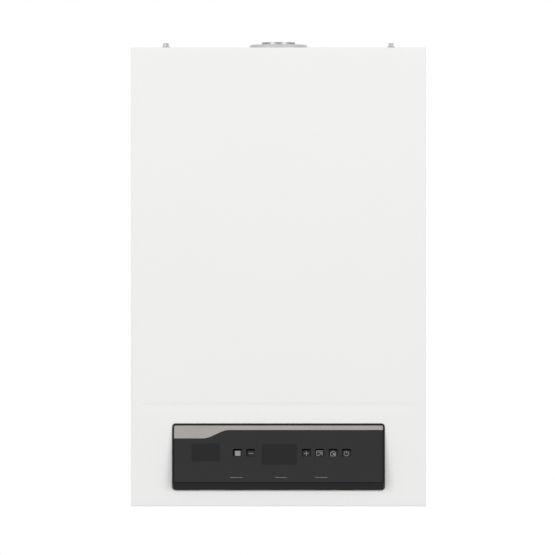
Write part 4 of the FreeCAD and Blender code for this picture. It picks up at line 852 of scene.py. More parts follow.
class ThreadRecipe(Recipe):
    """A screw thread's ridge, wound upwards from each point."""

    def __init__(self) -> None:
        """Build the tree."""
        super().__init__("Pipe threads", Radius="Float", Pitch="Float", Turns="Float", Ridge="Float")
        entry = self.entry
        winding = self.add("GeometryNodeCurveSpiral", {
            "Resolution": 36,
            "Rotations": entry["Turns"],
            "Start Radius": entry["Radius"],
            "End Radius": entry["Radius"],
            "Height": self.math("MULTIPLY", entry["Pitch"], entry["Turns"])})
        ridge = self.add("GeometryNodeCurvePrimitiveCircle", {"Resolution": 4, "Radius": entry["Ridge"]})
        sweep = self.add("GeometryNodeCurveToMesh", {
            "Curve": winding.outputs["Curve"],
            "Profile Curve": ridge.outputs["Curve"],
            "Fill Caps": True})
        self.close(self.scatter(entry["Geometry"], sweep.outputs["Mesh"]))


class StackRecipe(Recipe):
    """Copies of one plate, stacked backwards from each point."""

    def __init__(self) -> None:
        """Build the tree."""
        super().__init__("Stacked plates", Part="Object", Count="Int", Pitch="Float")
        entry = self.entry
        part = self.add("GeometryNodeObjectInfo", {"Object": entry["Part"]}).outputs["Geometry"]
        step = self.add("ShaderNodeCombineXYZ", {"Y": entry["Pitch"]})
        inputs = {"Count": entry["Count"], "Offset": step.outputs["Vector"]}
        row = self.add("GeometryNodeMeshLine", inputs, mode="OFFSET")
        stack = self.scatter(row.outputs["Mesh"], part)
        self.close(self.scatter(entry["Geometry"], stack))


@dataclass
class Casing:
    """The white cover with the sheets and the frame behind it."""

    half_width: float = 225.0
    top: float = 60.0
    bottom: float = -640.0
    front: float = -330.0
    lap_middle: float = -310.0
    lap_end: float = -290.0
    sheet: float = 1.0
    grid_step: float = 12.0
    bend: float = 1.8
    groove_level: float = -485.4
    groove_above: float = 4.4
    groove_below: float = 12.0
    groove_depth: float = 0.5
    groove_reach: float = 212.0
    groove_run_out: float = 5.0
    groove_steps: int = 6
    run_out_steps: int = 4
    opening: Triple = (323.6, 101.3, 4.45)
    opening_level: float = -564.6
    opening_fold: float = 1.2
    opening_return: float = 3.0
    slot_offset: float = 172.0
    slot_width: float = 6.0
    slot_end: float = -316.0
    cut_over: float = 4.0
    slot_cut: float = 2.0
    rounding: float = 0.35

    def grid_lines(self, low: float, high: float, fine: Sequence[float]) -> list[float]:
        """Lines across the cover, close together where its shape changes.

        Args:
            low: The first line.
            high: The last line.
            fine: Lines that have to be there.

        Returns:
            The lines in order.
        """
        marks = sorted({low, high, *fine})
        lines = [low]
        for one, other in zip(marks, marks[1:]):
            count = max(1, math.ceil((other - one) / self.grid_step))
            lines += [one + (other - one) * number / count for number in range(1, count + 1)]
        return lines

    def groove(self, x: float, z: float) -> float:
        """How deep the stamped groove is at one place of the front.

        Args:
            x: The place across the front.
            z: Its height.

        Returns:
            The depth.
        """
        reach = self.groove_above if z > self.groove_level else self.groove_below
        across = abs(z - self.groove_level) / reach
        along = (self.groove_reach - abs(x)) / self.groove_run_out
        if across >= 1 or along <= 0:
            return 0.0
        return self.groove_depth * 0.5 * (1 + math.cos(math.pi * across)) * ease(min(1.0, along))

    def build_cover(self) -> Thing:
        """The folded cover: grooved front, bent edges, and the laps behind them.

        Returns:
            The cover's object.
        """
        half = self.half_width - self.bend
        steps = self.run_out_steps
        ends = [self.groove_reach - self.groove_run_out * number / steps for number in range(steps + 1)]
        columns = self.grid_lines(-half, half, [side * end for side in (-1, 1) for end in ends])
        steps = self.groove_steps
        fine = [self.groove_level + self.groove_above * number / steps for number in range(steps + 2)]
        fine += [self.groove_level - self.groove_below * number / steps for number in range(1, steps + 2)]
        rows = self.grid_lines(self.bottom + self.bend, self.top - self.bend, fine)
        shape = bmesh.new()
        face = [[shape.verts.new((x, self.front + self.groove(x, z), z)) for x in columns] for z in rows]
        for low, high in zip(face, face[1:]):
            band(shape, low, high, closed=False)
        edge = face[0][:-1] + [row[-1] for row in face[:-1]]
        edge += face[-1][:0:-1] + [row[0] for row in face[:0:-1]]
        bends = [math.radians(turn) for turn in (18, 36, 54, 72, 90)]
        bend = self.bend
        folds = [(bend * math.sin(turn), self.front + bend * (1 - math.cos(turn))) for turn in bends]
        folds += [(bend, self.lap_middle), (bend, self.lap_end)]
        middle = (self.top + self.bottom) / 2
        limit = (self.top - self.bottom) / 2 - self.bend
        ring = edge
        for reach, depth in folds:
            after = []
            for x, _, z in (vert.co for vert in edge):
                side = (abs(x) > half - TOUCH) * math.copysign(reach, x)
                rise = (abs(z - middle) > limit - TOUCH) * math.copysign(reach, z - middle)
                after.append(shape.verts.new((x + side, depth, z + rise)))
            band(shape, ring, after)
            ring = after
        cover = as_object("front_cover_skin", shape)
        if cover.data.polygons[0].normal.y > 0:
            cover.data.flip_normals()
        wall = cover.modifiers.new("Sheet", "SOLIDIFY")
        wall.thickness = self.sheet * MM
        wall.offset = -1
        wall.use_even_offset = True
        settle(cover)
        return cover

    def cut_openings(self, cover: Thing) -> None:
        """Cut the control opening and the two screw slots.

        Args:
            cover: The cover's object.
        """
        shape = bmesh.new()
        outline = self.opening_outline(self.opening_fold)
        skin(shape, [upright(outline, self.front + side * self.cut_over) for side in (-1, 1)])
        for side in (-1, 1):
            middle = side * self.slot_offset
            slot = arc((middle, self.slot_end), self.slot_width / 2, 180, 360, 10)
            end = self.lap_end + self.cut_over
            slot += [(middle + hand * self.slot_width / 2, end) for hand in (1, -1)]
            levels = (self.top - self.slot_cut, self.top + self.slot_cut)
            skin(shape, [[Vector((x, y, z)) for x, y in slot] for z in levels])
        carve(cover, as_object("cover_cutter", shape))

    def opening_outline(self, offset: float) -> list[Point]:
        """The control opening's outline, grown by an offset."""
        width, height, radius = (size + offset * sides for size, sides in zip(self.opening, (2, 2, 1)))
        return rounded_outline(width, height, radius, (0.0, self.opening_level))

    def build_lip(self) -> Thing:
        """The lip that is folded inwards all round the control opening.

        Returns:
            The lip's object.
        """
        fold = self.opening_fold
        section = arc((fold, fold), fold, 270, 180)
        section += [(0.0, self.opening_return), (self.sheet, self.opening_return)]
        section += arc((fold, fold), fold - self.sheet, 180, 270, 3)
        rings = [upright(self.opening_outline(offset), self.front + depth) for offset, depth in section]
        return skinned("cover_opening_lip", rings, closed=True)

    def build(self) -> None:
        """Make the cover and finish the sheets and the frame."""
        cover = self.build_cover()
        self.cut_openings(cover)
        dress(cover, WHITE, "cover", "front_cover")
        dress(self.build_lip(), WHITE, "cover")
        softened(WHITE, "left_side_panel", "right_side_panel", "top_panel", width=self.rounding)
        softened(GALVANISED, "bottom_plate", "rear_frame", "wall_bracket", width=self.rounding)


@dataclass
class Fasteners:
    """The hexagon flange screws of the cover, the flue collar and the chamber's door."""

    flats: float = 8.0
    head: float = 6.5
    low_head: float = 3.6
    flange: float = 11.8
    washer: tuple[Point, ...] = ((0.3, 0.0), (0.0, 0.3), (0.0, 0.7), (0.4, 1.0))
    washer_top: float = 1.7
    head_foot: float = 0.6
    head_chamfer: float = 0.7
    dish_depth: float = 0.5
    head_shares: Triple = (0.86, 0.62, 0.5)
    shank: float = 5.0
    shank_length: float = 12.0
    thread_pitch: float = 1.0
    thread_depth: float = 0.3
    shank_sink: float = 0.5
    point: float = 0.9
    cover_place: Triple = (172.0, -316.0, 60.3)
    collar_circle: float = 111.0
    collar_centre: Point = (0.0, -140.0)
    collar_seat: float = 61.1
    door_seat: float = -305.0
    door_side: float = 209.5
    door_low: float = -404.5
    door_high: float = 51.1
    door_middle: float = -176.7
    door_reach: float = 196.3
    seed: int = 7

    def build_screw(self, head: float) -> Thing:
        """One screw that stands on its seat at the origin.

        Args:
            head: How high its head is.

        Returns:
            The screw's object.
        """
        shape = bmesh.new()
        washer = [(self.flange / 2 - inset, height) for inset, height in self.washer]
        skin(shape, turned([*washer, (self.flats / 2, self.washer_top)], 32))
        corner = self.flats / math.sqrt(3)
        crown, dish, floor = (corner * share for share in self.head_shares)
        hexagon = [(corner, self.head_foot), (corner, head - self.head_chamfer), (crown, head), (dish, head)]
        skin(shape, turned([*hexagon, (floor, head - self.dish_depth)], 6))
        core = self.shank / 2
        ridges = [(core - self.thread_depth * (number % 2), -self.thread_pitch / 2 * number)
                  for number in range(1, int(self.shank_length / self.thread_pitch * 2))]
        stem = [(core, self.shank_sink), *ridges, (core - self.point, -self.shank_length)]
        skin(shape, turned(stem, 16))
        return as_object("screw", shape)

    def tall_places(self) -> tuple[Row, Row]:
        """Where the tall screws sit and which way they face.

        Returns:
            The seats and the directions.
        """
        x, y, z = self.cover_place
        cover = [Vector((x * side, y, z)) for side in (-1, 1)]
        door = [Vector((self.door_side * side, self.door_seat, self.door_middle + self.door_reach * step))
                for side in (-1, 1) for step in (-1, 0, 1)]
        door += [Vector((0, self.door_seat, level)) for level in (self.door_low, self.door_high)]
        return cover + door, [UP] * len(cover) + [FORWARD] * len(door)

    def collar_places(self) -> tuple[Row, Row]:
        """Where the flue collar's low screws sit, and their upward directions."""
        ring = arc(self.collar_centre, self.collar_circle / 2, 45, 315, 3)
        return [Vector((x, y, self.collar_seat)) for x, y in ring], [UP] * len(ring)

    def build_set(self, name: str, head: float, seats: Row, facing: Row) -> Thing:
        """Set one kind of screw on its places.

        Args:
            name: The set's name.
            head: How high the heads are.
            seats: Where the screws sit.
            facing: Which way each one faces.

        Returns:
            The set's object.
        """
        screw = self.build_screw(head)
        made = ScatterRecipe().make(name, seats, facing, ZINC, Part=screw, Turn=math.pi / 3, Seed=self.seed)
        bpy.data.objects.remove(screw)
        return made

    def build(self) -> None:
        """Set a screw on every place."""
        tall = self.build_set("flange_screw_set", self.head, *self.tall_places())
        dress(tall, ZINC, "boiler", "flange_screws")
        dress(self.build_set("collar_screw_set", self.low_head, *self.collar_places()), ZINC, "boiler")


@dataclass
class FlueTerminal:
    """The air collar and the exhaust spigot inside it."""

    axis: Point = (0.0, -140.0)
    collar_radius: float = 44.25
    collar_wall: float = 3.0
    collar_foot: float = 46.6
    flange_radius: float = 63.0
    flange_low: float = 58.6
    flange_high: float = 61.1
    crown: float = 70.3
    shoulder: float = 2.0
    fillet: float = 2.0
    edge: float = 0.8
    chamfer: float = 0.4
    lip_radius: float = 37.0
    spigot_radius: float = 25.75
    spigot_wall: float = 1.2
    spigot_low: float = 32.6
    spigot_high: float = 74.2
    foot_radius: float = 30.0
    foot_height: float = 2.5
    mouth: float = 0.6
    bead_levels: Point = (48.0, 62.0)
    bead_radius: float = 1.2
    bead_sink: float = 0.6
    segments: int = 128

    def build_collar(self) -> Thing:
        """The collar with its rounded shoulder, drawn lip and screw flange.

        Returns:
            The collar's object.
        """
        outside = self.collar_radius
        inside = outside - self.collar_wall
        under = self.crown - self.collar_wall
        profile = [(inside, self.collar_foot), (outside, self.collar_foot), (outside, self.flange_low)]
        rim = self.flange_radius
        profile += [(rim - self.chamfer, self.flange_low), (rim, self.flange_low + self.chamfer)]
        profile += arc((rim - self.edge, self.flange_high - self.edge), self.edge, 0, 90, 4)
        profile += arc((outside + self.fillet, self.flange_high + self.fillet), self.fillet, 270, 180, 5)
        profile += arc((outside - self.shoulder, self.crown - self.shoulder), self.shoulder, 0, 90, 10)
        profile += arc((self.lip_radius + self.edge, self.crown - self.edge), self.edge, 90, 180, 4)
        profile += [(self.lip_radius, under), (inside - self.fillet, under)]
        profile += arc((inside - self.fillet, under - self.fillet), self.fillet, 90, 0, 4)
        return skinned("flue_collar_skin", turned(profile, self.segments, self.axis), closed=True)

    def build_spigot(self) -> Thing:
        """The exhaust tube with its foot, its rounded mouth and two stiffening beads.

        Returns:
            The spigot's object.
        """
        outside = self.spigot_radius
        inside = outside - self.spigot_wall
        foot_top = self.spigot_low + self.foot_height
        profile = [(inside, self.spigot_low), (self.foot_radius, self.spigot_low)]
        profile += [(self.foot_radius, foot_top), (outside, foot_top)]
        for level in self.bead_levels:
            profile += arc((outside - self.bead_sink, level), self.bead_radius, -60, 60, 6)
        profile += arc((outside - self.mouth, self.spigot_high - self.mouth), self.mouth, 0, 180, 8)
        return skinned("flue_spigot_skin", turned(profile, self.segments, self.axis), closed=True)

    def build(self) -> None:
        """Make both pipes."""
        dress(self.build_collar(), COLLAR, "boiler", "flue_collar")
        dress(self.build_spigot(), STAINLESS, "boiler", "flue_spigot")


class Icon(Enum):
    """The signs on the buttons."""

    STOP = "stop"
    MINUS = "minus"
    PLUS = "plus"
    MODE = "mode"
    HEATING = "heating"
    POWER = "power"


SIGN_STROKES: dict[Icon, tuple[tuple[Point, ...], ...]] = {
    Icon.STOP: (),
    Icon.MINUS: (((-3.2, 0), (3.2, 0)),),
    Icon.PLUS: (((-3.2, 0), (3.2, 0)), ((0, -3.2), (0, 3.2))),
    Icon.MODE: (((-1.6, -3.5), (-4.6, -3.5), (-4.6, 3.8), (4.8, 3.8)),
                ((-1.6, -3.5), (0.4, -1.4), (4.4, 0.9)),
                ((-1.9, 2.0), (4.4, 0.9), (3.7, -3.2))),
    Icon.HEATING: (((-3.7, 0.9), (-3.9, -3.9), (3.9, -3.9), (3.9, 1.2), (0, 4.0), (-3.7, 0.9)),),
    Icon.POWER: (((0, 0.4), (0, 3.9)),)}


@dataclass
class ControlPanel:
    """The tilted panel with its bezel, lens, silver trim and buttons."""

    tilt: float = 7.0
    nose: Triple = (0.0, -342.0, -604.0)
    face_width: float = 322.7
    face_high: float = 90.27
    face_corner: float = 4.0
    foot_corner: float = 0.6
    nose_inset: float = 0.6
    nose_foot: float = 0.1
    nose_foot_corner: float = 0.4
    nose_depth: float = 0.45
    nose_drop: float = 0.8
    fascia_level: Point = (-615.0, -514.4)
    fascia_front: Point = (-332.6, -330.2)
    fascia_back: float = -322.0
    wall: float = 3.0
    floor_back: float = 4.5
    recess: Triple = (319.3, 87.97, 2.0)
    recess_edge: float = 0.25
    lens_size: Triple = (318.5, 87.2, 2.2)
    lens_level: float = 44.36
    lens_depth: Point = (0.8, 2.8)
    lens_chamfer: float = 0.35
    trim_half: float = 159.25
    trim_high: float = 87.96
    trim_tall: float = 19.8
    trim_thin: float = 6.9
    trim_curve: Point = (-115.3, -75.3)
    trim_corner: float = 2.2
    trim_steps: int = 32
    trim_rounding: float = 0.22
    button_level: float = 46.4
    button_row: tuple[float, ...] = (-62.8, -42.4, 42.4, 62.8, 83.2, 103.6)
    button_chamfer: float = 0.2
    button_size: Triple = (12.6, 11.0, 1.2)
    button_depth: Point = (4.3, 7.0)
    face_size: Triple = (11.8, 9.2, 0.8)
    face_depth: float = 1.6
    face_shift: Point = (0.7, -1.0)
    flange_size: Triple = (15.0, 13.4, 1.0)
    flange_depth: Point = (4.8, 6.3)
    stem_width: float = 4.0
    stem_end: float = 9.0
    overlap: float = 0.5
    aperture: Triple = (13.2, 11.6, 1.4)
    aperture_cut: float = 1.0
    display_size: Triple = (54.0, 32.0, 2.0)
    display_place: Point = (1.2, 43.7)
    side_window_size: Triple = (43.5, 27.5, 2.0)
    side_window_place: Point = (-111.0, 46.7)
    print_depth: float = 0.03
    print_chamfer: float = 0.01
    tick_corner: float = 0.2
    tick_level: float = 8.5
    tick_height: float = 0.55
    tick_spans: tuple[Point, ...] = ((-73.7, -54.6), (-4.9, 13.0), (55.8, 74.6))
    stroke: float = 0.76
    stop_size: Triple = (8.2, 7.6, 0.3)
    flame: tuple[Point, ...] = ((-1.5, 1.2), (1.8, -3.3), (3.3, -0.8))
    power_radius: float = 3.6
    power_drop: float = 0.2
    rounding: float = 0.4

    def place(self) -> Matrix:
        """Where the panel's own frame lies in the model."""
        return Matrix.Translation(self.nose) @ Matrix.Rotation(math.radians(self.tilt), 4, Vector((-1, 0, 0)))

    def tilted(self, name: str, shape: Shape) -> Thing:
        """Turn a mesh that is drawn in the panel's own frame into an object."""
        return as_object(name, shape, self.place())

    def tilted_ring(self, size: Triple, level: float, depth: float, foot: float | None = None) -> Row:
        """A rounded outline about a level of the tilted panel, at a depth behind its face."""
        place = self.place()
        return [place @ point for point in upright(rounded_outline(*size, (0.0, level), foot), depth)]

    def fascia_ring(self, inset: float) -> Row:
        """The upright outline of the fascia's back.

        Args:
            inset: How far it is drawn in.

        Returns:
            The outline's points.
        """
        low, high = self.fascia_level
        size = (self.face_width - inset * 2, high - low - inset * 2, self.face_corner)
        return upright(rounded_outline(*size, (0.0, (low + high) / 2)), self.fascia_back)

    def build_bezel(self) -> Thing:
        """The black frame: a recess for the lens, a soft nose, and a strip that slopes back below it.

        Returns:
            The bezel's object.
        """
        width, height, corner = self.recess
        outer = self.face_width
        high = self.face_high
        low, top = self.fascia_level
        front, back = self.fascia_front
        rim = self.fascia_ring(0.0)
        slope = (back - front) / (top - low)
        edge = [Vector((point.x, front + (point.z - low) * slope, point.z)) for point in rim]
        grown = self.recess_edge
        mouth = (width + grown * 2, height + grown * 2, corner + grown)
        inset = self.nose_inset
        foot = self.nose_foot
        drop = self.nose_drop
        face = (outer - inset * 2, high - inset - foot, self.face_corner - inset)
        nose = (outer, high + drop, self.face_corner)
        inner = (outer - self.wall * 2, high - self.wall * 2, corner)
        bezel = skinned("control_bezel_skin", [
            self.tilted_ring(self.recess, self.lens_level, self.lens_depth[1]),
            self.tilted_ring(self.recess, self.lens_level, grown),
            self.tilted_ring(mouth, self.lens_level, 0.0),
            self.tilted_ring(face, (high - inset + foot) / 2, 0.0, self.nose_foot_corner),
            self.tilted_ring(nose, (high - drop) / 2, self.nose_depth, self.foot_corner),
            edge, rim, self.fascia_ring(self.wall),
            self.tilted_ring(inner, high / 2, self.floor_back)])
        self.cut_apertures(bezel, self.lens_depth[1], self.floor_back)
        return bezel

    def cut_apertures(self, thing: Thing, front: float, back: float) -> None:
        """Cut an aperture for each button.

        Args:
            thing: The piece that they pass through.
            front: Where the piece starts behind the panel's face.
            back: Where it ends.
        """
        cutter = bmesh.new()
        for x in self.button_row:
            outline = rounded_outline(*self.aperture, (x, self.button_level))
            depths = (front - self.aperture_cut, back + self.aperture_cut)
            skin(cutter, [upright(outline, depth) for depth in depths])
        carve(thing, self.tilted("aperture_cutter", cutter))

    def build_lens(self) -> Thing:
        """The smoked lens with an aperture for each button.

        Returns:
            The lens's object.
        """
        shape = bmesh.new()
        plate(shape, self.lens_size, self.lens_depth, self.lens_chamfer, (0.0, self.lens_level))
        lens = self.tilted("display_lens_skin", shape)
        self.cut_apertures(lens, *self.lens_depth)
        return lens

    def build_trim(self) -> Thing:
        """The silver trim: tall at the left, drawn through a double curve to a thin band.

        Returns:
            The trim's object.
        """
        low = self.trim_high - self.trim_tall
        rise = self.trim_tall - self.trim_thin
        start, end = self.trim_curve
        outline = [(-self.trim_half, low)]
        for number in range(self.trim_steps + 1):
            share = number / self.trim_steps
            outline.append((start + (end - start) * share, low + rise * ease(share)))
        corner = self.trim_corner
        outline.append((self.trim_half, low + rise))
        outline += arc((self.trim_half - corner, self.trim_high - corner), corner, 0, 90)
        outline += arc((corner - self.trim_half, self.trim_high - corner), corner, 90, 180)
        rings = [upright(outline, depth) for depth in (0.0, self.lens_depth[0])]
        trim = skinned("fascia_trim_skin", rings, place=self.place())
        soften(trim, self.trim_rounding)
        return trim

    def build_prints(self) -> None:
        """The dark display windows and the three dashes on the lens."""
        face = self.lens_depth[0]
        depth = (face - self.print_depth, face + self.print_depth)
        windows = bmesh.new()
        plate(windows, self.display_size, depth, self.print_chamfer, self.display_place)
        plate(windows, self.side_window_size, depth, self.print_chamfer, self.side_window_place)
        dress(self.tilted("display_windows", windows), WINDOW, "control_box")
        ticks = bmesh.new()
        for left, right in self.tick_spans:
            size = (right - left, self.tick_height, self.tick_corner)
            plate(ticks, size, depth, self.print_chamfer, ((left + right) / 2, self.tick_level))
        dress(self.tilted("tick_line", ticks), INK, "control_box")

    def build_button(self, icon: Icon, x: float) -> None:
        """One button: a face low in its aperture, and the black cap behind it with its flange and stem; the
        cap's near-black, nearly unreflecting colour is painted shade that darkens the gap above the face.

        Args:
            icon: The button's sign.
            x: Its place along the panel.
        """
        centre = (x, self.button_level)
        side, drop = self.face_shift
        middle = (x + side * (x < 0), self.button_level + drop)
        front, back = self.button_depth
        face = bmesh.new()
        plate(face, self.face_size, (self.face_depth, front + self.overlap), self.button_chamfer, middle)
        cap = bmesh.new()
        plate(cap, self.button_size, self.button_depth, self.button_chamfer, centre)
        plate(cap, self.flange_size, self.flange_depth, self.button_chamfer, centre)
        ring = arc(centre, self.stem_width / 2, 0, 345, 23)
        skin(cap, [upright(ring, depth) for depth in (back - self.overlap, self.stem_end)])
        body = f"button_{icon.value}"
        # The cap's colour is painted shade in the gap above the face, added to the real shade of the recess.
        dress(self.tilted(f"{body}_cap", cap), SHADOW_BLACK_CAP, body, body)
        dress(self.tilted(f"{body}_face", face), BUTTON, body)
        dress(self.tilted(f"{body}_icon", self.sign(icon, middle)), INK, body)

    def bar(self, shape: Shape, start: Vector, end: Vector) -> None:
        """One stroke of a sign.

        Args:
            shape: The sign's mesh.
            start: Where the stroke starts.
            end: Where it ends.
        """
        along = (end - start).normalized() * (self.stroke / 2)
        across = Vector((-along.y, along.x))
        first = start - along
        last = end + along
        self.patch(shape, [first - across, last - across, last + across, first + across])

    def patch(self, shape: Shape, outline: Sequence[Point]) -> None:
        """One flat area of a sign, proud of the button's face by the print's depth."""
        depths = (self.face_depth - self.print_depth, self.face_depth + self.print_depth)
        skin(shape, [upright(outline, depth) for depth in depths])

    def sign(self, icon: Icon, centre: Point) -> Shape:
        """Draw a button's sign.

        Args:
            icon: Which sign.
            centre: The middle of the button's face.

        Returns:
            The sign's mesh.
        """
        shape = bmesh.new()
        x, z = centre
        for path in SIGN_STROKES[icon]:
            points = [Vector((x + across, z + up)) for across, up in path]
            for start, end in zip(points, points[1:]):
                self.bar(shape, start, end)
        if icon is Icon.STOP:
            self.patch(shape, rounded_outline(*self.stop_size, centre))
        if icon is Icon.HEATING:
            self.patch(shape, [(x + across, z + up) for across, up in self.flame])
        if icon is Icon.POWER:
            middle = (x, z - self.power_drop)
            ring = arc(middle, self.power_radius + self.stroke / 2, 120, 420, 24)
            ring += arc(middle, self.power_radius - self.stroke / 2, 420, 120, 24)
            self.patch(shape, ring)
        return shape

    def build(self) -> None:
        """Make the panel's pieces and finish the box behind it."""
        dress(self.build_bezel(), BEZEL, "control_box", "control_bezel")
        dress(self.build_lens(), LENS, "control_box", "display_lens")
        dress(self.build_trim(), SILVER, "control_box", "fascia_trim")
        self.build_prints()
        for icon, x in zip(Icon, self.button_row):
            self.build_button(icon, x)
        softened(GREY_PLASTIC, "control_housing", width=self.rounding)
        coat(WINDOW, "display_module")
        coat(BOARD, "control_board")


@dataclass
class Chamber:
    """The sealed chamber with the burner, the heat exchanger and the fan inside."""

    rounding: float = 0.5

    def build(self) -> None:
        """Finish the chamber and what is inside it."""
        softened(ALUMINISED, "chamber_door", width=self.rounding)
        coat(ALUMINISED, "chamber_box", "burner_tray", "flue_hood")
        coat(SILICONE, "chamber_seal", "sensing_hose")
        coat(SIGHT_GLASS, "sight_glass")
        coat(STAINLESS, "burner_blades", "fan_impeller")
        coat(CAST_ALUMINIUM, "gas_manifold", "fan_housing")
        coat(COPPER, "gas_pipe", "heat_exchanger")
        coat(CERAMIC, "ignition_electrodes")
        coat(CERAMIC_FIBRE, "ceramic_liner")
        coat(BLACK_PLASTIC, "spark_generator", "fan_motor", "air_pressure_switch")
        coat(VESSEL_RED, "expansion_vessel")


@dataclass
class Hydraulics:
    """The pump, the valves, the plate exchanger and the pipes below the chamber."""

    tail_y: float = -125.0
    thread_low: float = -643.6
    wide_tails: tuple[float, ...] = (-140.0, 0.0, 140.0)
    wide_radius: float = 13.05
    slim_tails: tuple[float, ...] = (-70.0, 70.0)
    slim_radius: float = 10.35
    thread_pitch: float = 1.8
    thread_turns: float = 9.0
    thread_ridge: float = 0.55
    plate_size: Triple = (181.0, 72.0, 12.0)
    end_size: Triple = (184.0, 75.0, 13.5)
    plate_level: float = -562.5
    plate_front: float = -240.0
    plate_back: float = -200.0
    end_thickness: float = 3.0
    plate_count: int = 17
    plate_pitch: float = 2.0
    plate_draw: float = 1.6
    plate_edge: Point = (0.6, 1.1)
    end_chamfer: float = 0.6

    def build_threads(self) -> None:
        """Wind a thread on the end of every connection tail."""
        recipe = ThreadRecipe()
        rows = (("wide_tail_threads", self.wide_tails, self.wide_radius),
                ("slim_tail_threads", self.slim_tails, self.slim_radius))
        for name, places, radius in rows:
            feet = [Vector((x, self.tail_y, self.thread_low)) for x in places]
            threads = recipe.make(name, feet, [UP] * len(feet), BRASS, Radius=radius * MM,
                                  Pitch=self.thread_pitch * MM, Turns=self.thread_turns,
                                  Ridge=self.thread_ridge * MM)
            dress(threads, BRASS, "boiler")

    def build_plates(self) -> None:
        """Stack the plate exchanger between its two end plates."""
        width, height, radius = self.plate_size
        full = rounded_outline(width, height, radius)
        drawn = rounded_outline(width - self.plate_draw, height - self.plate_draw, radius)
        depths = (0.0, *self.plate_edge, self.plate_pitch)
        rings = [upright(ring, depth) for ring, depth in zip((drawn, full, full, drawn), depths)]
        one = skinned("pressed_plate", rings)
        front = self.plate_front + self.end_thickness
        start = Vector((0, front, self.plate_level))
        stack = StackRecipe().make("plate_exchanger_stack", [start], [-FORWARD], STAINLESS, Part=one,
                                   Count=self.plate_count, Pitch=self.plate_pitch * MM)
        bpy.data.objects.remove(one)
        dress(stack, STAINLESS, "boiler", "plate_exchanger")
        ends = bmesh.new()
        back = self.plate_back - self.end_thickness
        for depth in ((self.plate_front, front), (back, self.plate_back)):
            plate(ends, self.end_size, depth, self.end_chamfer, (0.0, self.plate_level))
        dress(as_object("plate_exchanger_ends", ends), STAINLESS, "boiler")

    def build(self) -> None:
        """Make the repeats and finish the cast and turned pieces."""
        self.build_threads()
        self.build_plates()
        turned_brass = ("connection_tails", "flow_manifold", "relief_valve", "air_vent", "fill_valve")
        softened(BRASS, *turned_brass, width=0.4)
        softened(CAST_IRON, "pump_body", "pump_motor", width=1.0)
        softened(CAST_ALUMINIUM, "gas_valve", width=0.7)
        softened(WHITE_PLASTIC, "three_way_actuator", width=0.8)
        softened(BLACK_PLASTIC, "flow_sensor", "cable_gland", width=0.4)
        softened(RED_PLASTIC, "relief_knob", width=0.5)
        softened(BLUE_PLASTIC, "fill_knob", width=0.5)
        coat(COPPER, "water_pipes")
        coat(STAINLESS, "valve_spindle")
        coat(BLACK_PLASTIC, "pump_impeller")
        coat(WHITE_PLASTIC, "turbine_rotor")


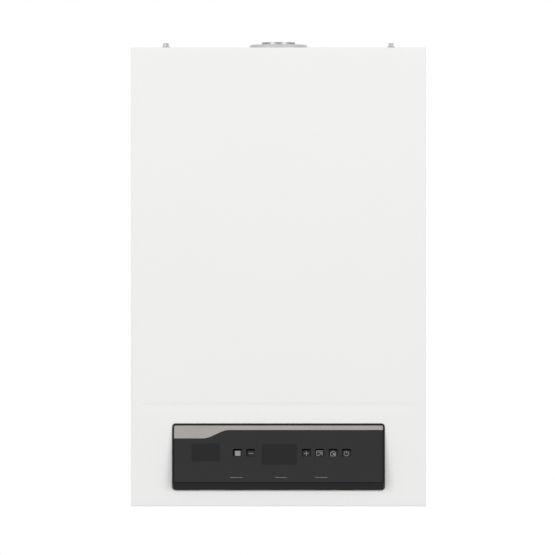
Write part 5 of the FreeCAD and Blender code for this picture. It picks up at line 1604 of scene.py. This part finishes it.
@dataclass
class Studio:
    """The pale floor, the soft light and the camera."""

    floor_level: float = -1450.0
    floor_half: float = 2200.0
    floor_colour: Colour = (0.86, 0.86, 0.85, 1.0)
    floor_roughness: float = 0.9
    floor_fade: Point = (0.55, 0.97)
    camera_place: Triple = (-1.5, -10330.0, -291.0)
    lens: float = 425.25
    sensor: float = 36.0
    light_before: float = 0.77
    light_beside: float = 0.74
    light_above: float = 0.42
    light_below: float = 0.5
    key_place: Triple = (2.3, -2.6, 1.4)
    key_size: float = 1.4
    key_power: float = 28.0
    overhead_place: Triple = (0.3, -0.9, 2.1)
    overhead_size: float = 2.4
    overhead_power: float = 2.2
    aim: Triple = (0.0, -0.3, -0.25)
    room_colour: Colour = (1.0, 1.0, 1.0, 1.0)

    def build_floor(self) -> None:
        """A pale floor, clear from below, that fades out at its edge."""
        shape = bmesh.new()
        half = self.floor_half
        corners = ((-half, -half), (half, -half), (half, half), (-half, half))
        shape.faces.new([shape.verts.new((x, y, self.floor_level)) for x, y in corners])
        floor = as_object("floor", shape)
        if floor.data.polygons[0].normal.z < 0:
            floor.data.flip_normals()
        made = bpy.data.materials.new("Pale floor")
        graph = Surface(made)
        graph.set({"Base Color": self.floor_colour, "Roughness": self.floor_roughness})
        level = graph.add("ShaderNodeVectorMath", {0: graph.here(), 1: (1.0, 1.0, 0.0)}, operation="MULTIPLY")
        apart = graph.add("ShaderNodeVectorMath", {0: level.outputs["Vector"]}, operation="LENGTH")
        start, end = (half * MM * share for share in self.floor_fade)
        inputs = {"Value": apart.outputs["Value"], "From Min": start, "From Max": end}
        fade = graph.add("ShaderNodeMapRange", inputs).outputs[0]
        below = graph.add("ShaderNodeNewGeometry").outputs["Backfacing"]
        clear = graph.add("ShaderNodeBsdfTransparent")
        self.show(graph, graph.math("MAXIMUM", fade, below), graph.shader, clear, "Material Output")
        floor.data.materials.append(made)

    def show(self, graph: Graph, share: Socket, one: Node, other: Node, result: str) -> None:
        """Show a mix of two shaders at the result's node; the share is how far the second counts."""
        mix = graph.add("ShaderNodeMixShader", {0: share, 1: one.outputs[0], 2: other.outputs[0]})
        graph.feed(graph.tree.nodes[result], {"Surface": mix.outputs[0]})

    def build_light(self) -> None:
        """A white room, brighter round the boiler than above and below it, and three large soft lamps."""
        world = bpy.data.worlds.new("Studio")
        world.use_nodes = True
        bpy.context.scene.world = world
        graph = Graph(world.node_tree)
        place = graph.add("ShaderNodeTexCoord").outputs["Generated"]
        axes = graph.add("ShaderNodeSeparateXYZ", {0: place}).outputs
        rise = graph.add("ShaderNodeMapRange", {
            "Value": axes["Z"],
            "From Min": -1.0,
            "To Min": self.light_below,
            "To Max": self.light_above})
        shares = {"X": self.light_beside, "Y": self.light_before, "Z": rise.outputs[0]}
        strength = 0.0
        for axis, share in shares.items():
            square = graph.math("MULTIPLY", axes[axis], axes[axis])
            strength = graph.math("ADD", strength, graph.math("MULTIPLY", square, share))
        room = graph.tree.nodes["Background"]
        graph.feed(room, {"Color": self.room_colour, "Strength": strength})
        seen = graph.add("ShaderNodeBackground", {"Color": self.room_colour, "Strength": 1.0})
        to_camera = graph.add("ShaderNodeLightPath").outputs["Is Camera Ray"]
        self.show(graph, to_camera, room, seen, "World Output")
        across, before, high = self.key_place
        self.add_lamp("left_key", (-across, before, high), self.key_size, self.key_power)
        self.add_lamp("right_key", self.key_place, self.key_size, self.key_power)
        self.add_lamp("overhead", self.overhead_place, self.overhead_size, self.overhead_power)

    def add_lamp(self, name: str, place: Triple, size: float, power: float) -> None:
        """Add one square lamp that looks at the boiler's middle.

        Args:
            name: The lamp's name.
            place: Where it stands, in metres.
            size: Its side, in metres.
            power: Its power in watts.
        """
        lamp = bpy.data.lights.new(name, "AREA")
        lamp.size = size
        lamp.energy = power
        stand = add_object(name, lamp)
        stand.location = place
        gaze = Vector(self.aim) - Vector(place)
        stand.rotation_euler = gaze.to_track_quat("-Z", "Y").to_euler()

    def build_camera(self) -> None:
        """A long lens, straight in front of the cover."""
        eye = bpy.data.cameras.new("camera")
        eye.lens = self.lens
        eye.sensor_width = self.sensor
        stand = add_object("camera", eye)
        stand.location = Vector(self.camera_place) * MM
        stand.rotation_euler = (math.radians(90), 0.0, 0.0)
        bpy.context.scene.camera = stand

    def build(self) -> None:
        """Set the studio up."""
        self.build_floor()
        self.build_light()
        self.build_camera()
        bpy.context.scene.view_settings.view_transform = "Standard"


def main() -> None:
    """Build every sub-assembly in order."""
    logging.basicConfig(level=logging.INFO, format="%(message)s")
    assemblies = (Studio(), Casing(), Fasteners(), FlueTerminal(), ControlPanel(), Chamber(), Hydraulics())
    for assembly in assemblies:
        log.info("building %s", type(assembly).__name__)
        assembly.build()


if __name__ == "__main__":
    main()
